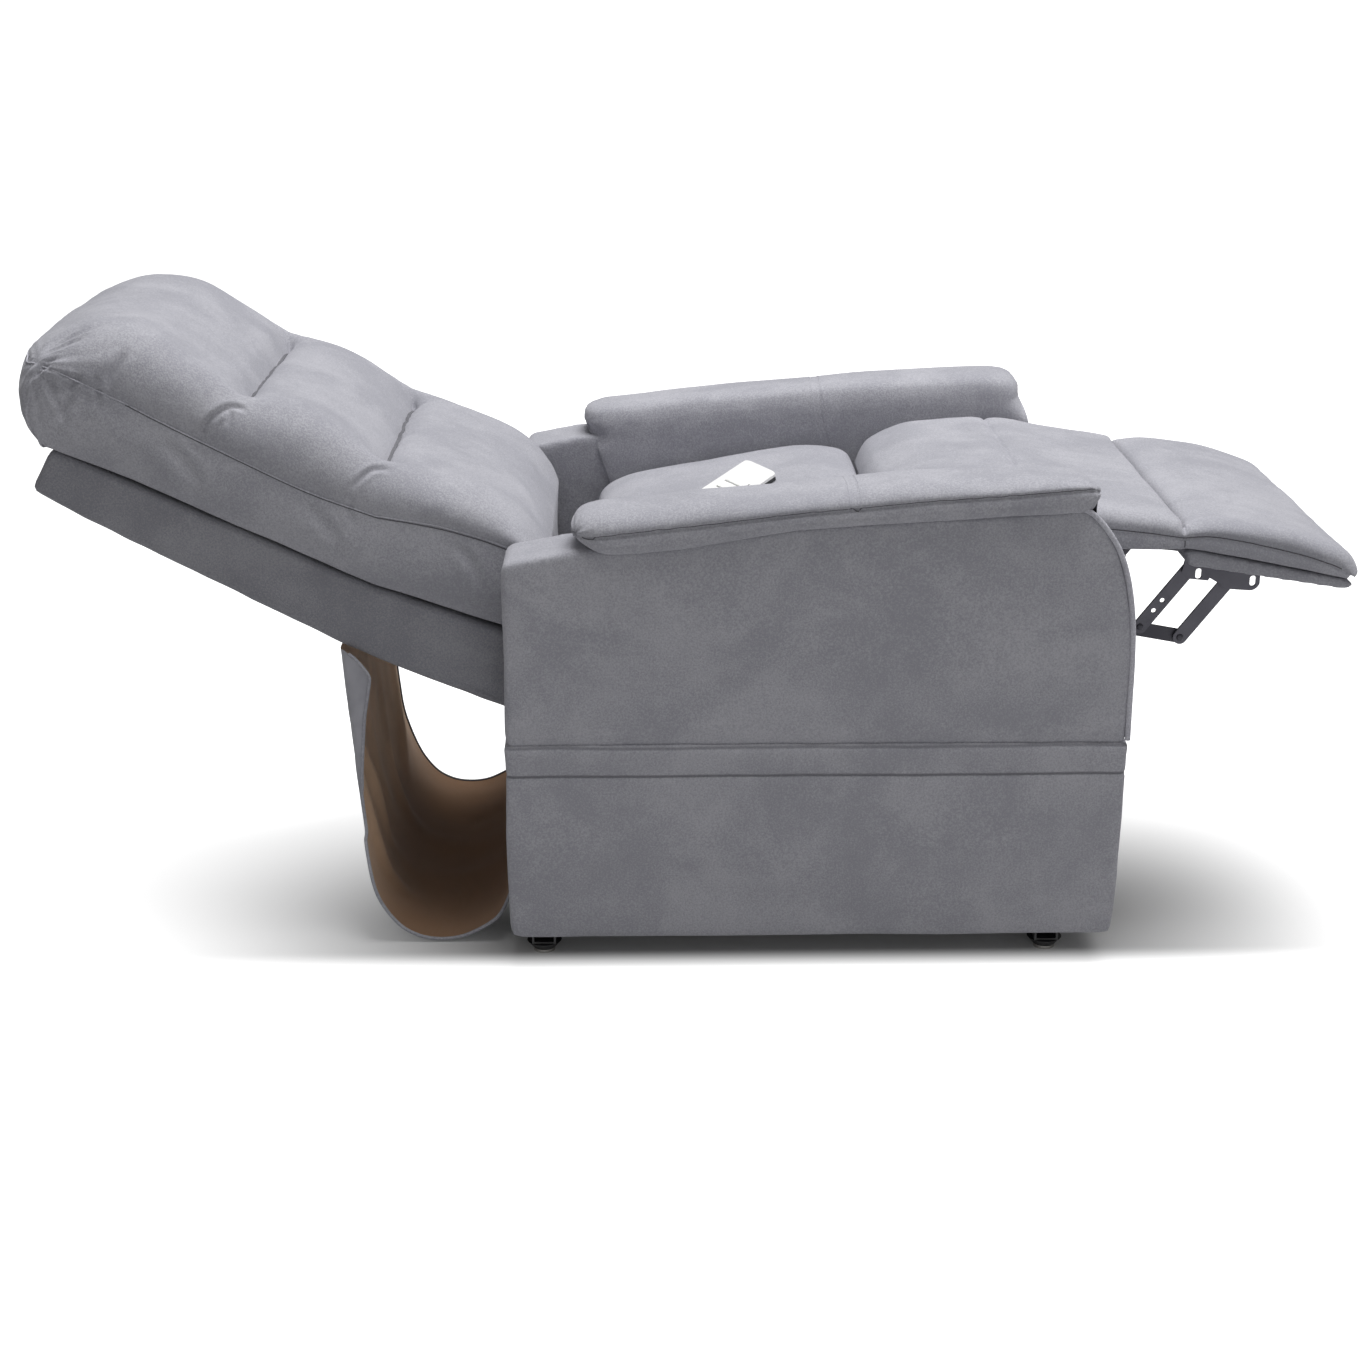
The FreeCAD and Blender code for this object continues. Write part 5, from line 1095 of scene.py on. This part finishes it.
def pad_section(share):
    """The section of a pad in millimetres, at a share of the way from its rear (0) to its front (1)."""
    x = PAD_REAR + share * (PAD_FRONT - PAD_REAR)
    crest, seam, lip = (read_line(line, x) for line in (PAD_CREST, PAD_SEAM, PAD_LIP))
    line = [(370.8, lip - 0.6), (377.0, lip + 1.6), (381.2, lip + (seam - lip) * 0.45), (379.6, seam),
            (381.0, seam + (crest - seam) * 0.16), (377.5, seam + (crest - seam) * 0.40),
            (368.0, seam + (crest - seam) * 0.63), (350.0, seam + (crest - seam) * 0.81), (326.0, crest - 3.2),
            (302.0, crest - 3.4), (285.0, crest - 5.8), (271.5, crest - 13.0), (264.5, crest - 27.0),
            (261.8, crest - 42.0), (261.6, lip - 8.0), (261.8, lip - 50.0), (261.9, 452.0), (263.2, 442.0),
            (266.5, 438.0), (269.4, 443.0), (269.8, 460.0), (269.8, lip - 45.0), (269.9, lip - 1.0)]
    around = pieced_path((SEAM_STEP + 1, 46, 26), line[:4], line[3:14], line[13:])
    # The top closes towards a middle line at both ends, the flap on the inner side only gets thinner
    end = (1.0 - abs(2.0 * share - 1.0) ** 26) ** 0.5
    middle = np.array([PAD_MIDDLE, lip + (crest - lip) * (0.6 if share < 0.5 else 0.4)])
    lean = np.clip((lip + 4.0 - around[:, 1]) / 14.0, 0.0, 1.0)
    squeeze = np.where(around[:, 0] < 290.0, lean, 0.0)[:, None]
    top = middle + (around - middle) * (0.02 + 0.98 * end)
    thinned = FLAP_MIDDLE + (around[:, 0] - FLAP_MIDDLE) * (0.1 + 0.9 * end)
    flap = np.stack([thinned, around[:, 1]], axis=1)
    across, height = (top * (1.0 - squeeze) + flap * squeeze).T
    # The ends lean by height, and the flap's front edge is cut otherwise than the top's
    rear = PAD_REAR + np.interp(height, (438.0, 541.0, 558.0), (50.0, 15.0, 0.0))
    front = PAD_FRONT - np.interp(height, (572, 584, 596, 606, 618, 626, 632), (9, 6, 3, 0, 2, 6, 12))
    flap_front = PAD_FRONT + np.interp(height, (500, 557, 600, 612, 626), (12, 9, 0, -4, -16))
    outward = np.clip((across - FLAP_MIDDLE) / (PAD_MIDDLE - FLAP_MIDDLE), 0.0, 1.0)
    front = flap_front + (front - flap_front) * outward
    return np.stack([rear + share * (front - rear), across, height], axis=1)


class RECLINER_OT_arm_pads(bpy.types.Operator):
    """Builds the padded tops of both arms with their cross seams"""

    bl_idname = "recliner.arm_pads"
    bl_label = "Arm pads"

    def execute(self, context):
        look = context.scene.upholstery
        ends = (1 - np.cos(np.linspace(0, math.pi, 170))) / 2
        sections = [pad_section(share) for share in 0.72 * ends + 0.28 * np.linspace(0, 1, 170)]
        cross = [pad_section((x - PAD_REAR) / (PAD_FRONT - PAD_REAR)) for x in (182.5, 188.5)]
        for side, sign in ARM_SIDES:
            turned = Vector((MM, sign * MM, MM))
            obj = tube_of_rings("arm_pad_cover_" + side, [[Vector(p) * turned for p in ring] for ring in sections])
            subdivided(obj)
            run = [Vector(ring[SEAM_STEP]) * turned for ring in sections[3:-3]]
            twin = [[Vector(p) * turned for p in ring[SEAM_STEP:72]] for ring in cross]
            gap_to, cross_gap = distance_to([run]), distance_to(twin)
            tips = (run[0], run[-1])

            def slack(p, n, seed=61.0 + sign):
                on_top = step_up(0.50, 0.56, p.z)
                away = gap_to(p)
                amount = 0.0022 * folds(Vector((p.x, p.y * 1.3, p.z)), 0.11, seed)
                amount += ripples(p, seed, 0.0009, 0.00035)
                amount -= 0.0024 * bell(away, 0.0024)
                amount += 0.0014 * math.exp(-away / 0.012) * folds(Vector((p.x, 0, 0)), 0.014, seed) * on_top
                amount -= 0.0011 * bell(cross_gap(p), 0.0018)
                for tip in tips:
                    out = p - tip
                    bunch = noise.noise(Vector((math.atan2(out.z, out.x) * 3.4, seed, out.length * 6.0)))
                    amount += 0.0030 * bunch * math.exp(-out.length / 0.03) * on_top
                return amount * (0.3 + 0.7 * on_top) - 0.0008

            moved_points(obj, slack)
            upholster(obj, "velour", "chassis", ("arm_pad_" + side,))
            rows = [laid_on(obj, [p + Vector((shift, 0, 0)) for p in line], 0.0002)
                    for line, shift in zip(twin, (-0.0035, 0.0035))]
            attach(stitches("arm_pad_stitches_" + side, rows, look.stitch * 0.8, 0.00045), "chassis")
            # A dark tube along the pad's seam: painted shade in its groove
            edge = path_through(laid_on(obj, run[6:-6], -0.0002), 240)
            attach(welts("arm_pad_seam_" + side, [edge], look.welt * THIN, "velour_seam"), "chassis")
        return {"FINISHED"}


SKIRT_LINE = ((-447, 387), (-442, 330), (-436, 250), (-430, 180), (-422, 115), (-408, 63), (-384, 26), (-358, 9),
              (-331, 4), (-305, 6.5), (-284, 15), (-264, 27), (-247, 43), (-235, 68), (-228, 87))
# How far the near hem turns in, by height
SKIRT_CURL = ((0, 0), (6, 0), (63, 0), (130, 0), (220, 9), (294, 21), (348, 35), (372, 20), (389, 2))
# Folds of the skirt: (depth, where it starts across, how it leans, width, where it ends along)
SKIRT_FOLDS = ((11.0, -0.95, 0.9, 0.055, 0.62), (9.0, -0.99, 0.45, 0.045, 0.72), (7.0, -0.4, 0.5, 0.09, 0.6),
               (6.0, 0.3, -0.3, 0.08, 0.7), (8.0, 0.95, -0.7, 0.06, 0.6))


class RECLINER_OT_rear_skirt(bpy.types.Operator):
    """Hangs the rear skirt in a loop from the back shell to the chassis"""

    bl_idname = "recliner.rear_skirt"
    bl_label = "Rear skirt"

    def execute(self, context):
        look = context.scene.upholstery
        line = path_through(SKIRT_LINE, 84)
        half, radius, across = 260.0, 7.0, 81
        flat, quarter = half - radius, radius * math.pi / 2
        floor_gap = 3.5
        points = []
        for i, (x, z) in enumerate(line):
            t = i / (len(line) - 1)
            free = math.sin(math.pi * t) ** 0.7
            ahead = line[min(i + 1, len(line) - 1)] - line[max(i - 1, 0)]
            ahead = ahead / np.linalg.norm(ahead)
            inner = Vector((-ahead[1], 0.0, ahead[0]))
            curl = read_line(SKIRT_CURL, z) if x < -400 else 0.0
            reach = flat + quarter + (curl - radius) if curl > radius else half + curl * 0.3
            flare = 30.0 * step_up(150.0, 60.0, z) * (1.0 - step_up(-256.0, -238.0, x))
            for j in range(across):
                v = j / (across - 1) * 2 - 1
                along = -v * reach if v < 0 else v * half
                if along <= flat or curl <= 0.5 or v > 0:
                    y, out = min(along, half), 0.0
                else:
                    angle = min((along - flat) / radius, math.pi / 2)
                    rest = max(along - flat - quarter, 0.0)
                    y, out = flat + radius * math.sin(angle), radius * (1 - math.cos(angle)) + rest
                y += flare * step_up(0.55, 1.0, abs(v))
                place = Vector((v * 1.3, t * 1.5, 0.0))
                sway = 9.0 * noise.noise(place * 1.7 + Vector((3, 1, 0))) + 3.0 * noise.noise(place * 4.2)
                drape = sum(high * bell(v - start - lean * t, wide) * step_up(0.12, 0.3, t)
                            * (1.0 - step_up(end - 0.15, end, t)) for high, start, lean, wide, end in SKIRT_FOLDS)
                shift = (sway + drape) * free * (1.0 - step_up(0.75, 1.0, abs(v)))
                point = Vector((x, 0.0, z)) + inner * (out + shift)
                point.y = math.copysign(y, v)
                point.z = max(point.z, floor_gap)
                points.append(point * MM)
        faces = [(a, a + 1, a + across + 1, a + across)
                 for i in range(len(line) - 1) for a in range(i * across, (i + 1) * across - 1)]
        obj = mesh_object("rear_skirt_cloth", points, faces)
        middle = obj.data.polygons[20 * (across - 1) + across // 2]
        if middle.normal.x > 0:
            obj.data.flip_normals()
        baked(obj, ("SMOOTH", {"factor": 0.5, "iterations": 2}))
        obj.data.materials.append(finish_of("skirt"))
        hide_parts("rear_skirt")
        # The far hem is drawn in the dark velour copy: painted shade along it
        for column, name, finish in ((0, "skirt_hem_right", "velour"),
                                     (across - 1, "skirt_hem_left", "velour_seam")):
            edge = [tuple(obj.data.vertices[i * across + column].co) for i in range(1, len(line) - 1)]
            hem = welts(name, [path_through(edge, 200)], look.welt, finish)
            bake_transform(hem)
        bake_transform(obj)
        return {"FINISHED"}


class RECLINER_OT_legrest_board(bpy.types.Operator):
    """Builds the covered board under the legrest pad"""

    bl_idname = "recliner.legrest_board"
    bl_label = "Legrest board"

    def execute(self, context):
        node = frame["nodes"]["footrest_board"]
        work = bmesh.new()
        work.from_mesh(node.data)
        bmesh.ops.remove_doubles(work, verts=work.verts, dist=0.00005)
        bmesh.ops.dissolve_limit(work, angle_limit=0.02, verts=work.verts, edges=work.edges)
        mesh = bpy.data.meshes.new("legrest_board_cover")
        work.to_mesh(mesh)
        work.free()
        obj = new_object("legrest_board_cover", mesh)
        even_mesh(obj, 0.0035, 5)
        moved_points(obj, lambda p, n: ripples(p, 71.0, 0.0010, 0.0003) + 0.0006)
        upholster(obj, "velour_board", "legrest", ("footrest_board",))
        return {"FINISHED"}


# Pins of the legrest's links in side view, by body
PINS = {"footrest_rear_links": ((569, 394.3), (627, 470.3)), "footrest_front_links": ((621.3, 380), (679.3, 456))}


class RECLINER_OT_metalwork(bpy.types.Operator):
    """Gives the frame, the mechanism and the motors their finishes and their rivet heads"""

    bl_idname = "recliner.metalwork"
    bl_label = "Metalwork"

    def execute(self, context):
        slots = {part["node"]: part.get("material_slot") for part in frame["record"]["subparts"]}
        for name, node in frame["nodes"].items():
            slot = slots.get(name, "graphite_steel")
            coat(node, "velour" if slot == "lining" else slot)
        for body, pins in PINS.items():
            heads = [((x, sign * 206.6, z), (0, sign, 0)) for x, z in pins for sign in SIDES]
            mesh = bpy.data.meshes.new("rivets_" + body)
            mesh.from_pydata([tuple(c * MM for c in place) for place, way in heads], [], [])
            facing = mesh.attributes.new("facing", "FLOAT_VECTOR", "POINT")
            facing.data.foreach_set("vector", [c for place, way in heads for c in way])
            obj = new_object("rivets_" + body, mesh)
            run_tree(obj, rivet_tree(), Radius=0.0045, Height=0.0011, Material=finish_of("graphite_steel"))
            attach(obj, body)
        return {"FINISHED"}


# Lamps by the name of their power setting: (name, place, size), all aimed at one place
LAMPS = (("top_lamp", (0.75, 0.35, 4.3), 3.2), ("front_lamp", (0.4, -3.4, 1.6), 2.2))
LAMP_AIM = Vector((0.1, 0, 0.4))
CAMERA_PLACE, CAMERA_TILT, CAMERA_TURN = (-0.0665, -3.12075, 1.28535), 71.67, -1.05


class RECLINER_OT_stage(bpy.types.Operator):
    """Sets the floor, the lamps and the camera"""

    bl_idname = "recliner.stage"
    bl_label = "Stage"

    def execute(self, context):
        scene = context.scene
        settings = scene.stage
        mesh = bpy.data.meshes.new("studio_floor")
        far = 60.0
        mesh.from_pydata([(-far, -far, 0), (far, -far, 0), (far, far, 0), (-far, far, 0)], [], [(0, 1, 2, 3)])
        floor = new_object("studio_floor", mesh)
        # Paper with painted light: it glows white to the camera, but not under and around the chair, where its
        # shadow shows
        tree = Tree("studio_floor")
        sideways = tree.math("ABSOLUTE", tree.math("SUBTRACT", tree.axis("X"), 0.12))
        clear = tree.math("SUBTRACT", 1.0, tree.spread(sideways, 0.35, 1.02))
        clear = tree.math("MULTIPLY", clear, tree.spread(tree.axis("Y"), -0.388, -0.318))
        clear = tree.math("MULTIPLY", clear, tree.spread(tree.axis("Y"), 0.32, -0.25))
        glow = tree.math("MULTIPLY_ADD", clear, -0.99, 1.0)
        rays = tree.add("ShaderNodeLightPath").outputs
        seen = tree.math("MAXIMUM", rays["Is Camera Ray"],
                         tree.math("MAXIMUM", rays["Is Glossy Ray"], rays["Is Transmission Ray"]))
        paper = tree.put(tree.add("ShaderNodeBsdfDiffuse"), Color=(0.52, 0.52, 0.52))
        light = tree.put(tree.add("ShaderNodeEmission"), Strength=tree.math("MULTIPLY", glow, seen))
        tree.put(tree.out, Surface=tree.row(tree.add("ShaderNodeAddShader"), paper.outputs[0], light.outputs[0]))
        floor.data.materials.append(tree.material)

        world = bpy.data.worlds.new("studio")
        world.use_nodes = True
        scene.world = world
        sky = world.node_tree
        sky.nodes.clear()
        out = added(sky, "ShaderNodeOutputWorld")
        plain = added(sky, "ShaderNodeBackground", (("Strength", settings.fill),))
        white = added(sky, "ShaderNodeBackground", (("Strength", 1.0),))
        rays = added(sky, "ShaderNodeLightPath")
        pick = added(sky, "ShaderNodeMixShader")
        chain(sky, ((rays, "Is Camera Ray", pick, "Fac"), (plain, 0, pick, 1), (white, 0, pick, 2),
                    (pick, 0, out, "Surface")))

        for name, place, size in LAMPS:
            data = bpy.data.lights.new(name, "AREA")
            data.size = size
            data.energy = getattr(settings, name)
            lamp = new_object(name, data)
            lamp.location = place
            lamp.rotation_euler = (LAMP_AIM - Vector(place)).to_track_quat("-Z", "Y").to_euler()

        data = bpy.data.cameras.new("photo_camera")
        data.sensor_width = 36.0
        data.lens = settings.lens
        camera = new_object("photo_camera", data)
        camera.location = CAMERA_PLACE
        camera.rotation_euler = (math.radians(CAMERA_TILT), 0.0, math.radians(CAMERA_TURN))
        scene.camera = camera
        scene.view_settings.view_transform = "Standard"
        return {"FINISHED"}


OPERATORS = (
    RECLINER_OT_stage, RECLINER_OT_metalwork, RECLINER_OT_back_shell, RECLINER_OT_back_cushion,
    RECLINER_OT_seat_cushion, RECLINER_OT_chaise_pad, RECLINER_OT_arms, RECLINER_OT_arm_pads,
    RECLINER_OT_rear_skirt, RECLINER_OT_legrest_board)


class RECLINER_PT_panel(bpy.types.Panel):
    """Lists the chair's pieces in the sidebar"""

    bl_label = "Lift Recliner Chair"
    bl_idname = "RECLINER_PT_panel"
    bl_space_type = "VIEW_3D"
    bl_region_type = "UI"
    bl_category = "Recliner"

    def draw(self, context):
        for group in (context.scene.upholstery, context.scene.stage):
            for key in group.bl_rna.properties.keys():
                if key not in ("rna_type", "name"):
                    self.layout.prop(group, key)
        for operator in OPERATORS:
            self.layout.operator(operator.bl_idname)


CLASSES = (UpholsterySettings, StageSettings, *OPERATORS, RECLINER_PT_panel)


def register():
    for item in CLASSES:
        bpy.utils.register_class(item)
    bpy.types.Scene.upholstery = PointerProperty(type=UpholsterySettings)
    bpy.types.Scene.stage = PointerProperty(type=StageSettings)


def unregister():
    del bpy.types.Scene.stage
    del bpy.types.Scene.upholstery
    for item in reversed(CLASSES):
        bpy.utils.unregister_class(item)


def main():
    register()
    for operator in OPERATORS:
        getattr(bpy.ops.recliner, operator.bl_idname.split(".")[1])()


if __name__ == "__main__":
    main()
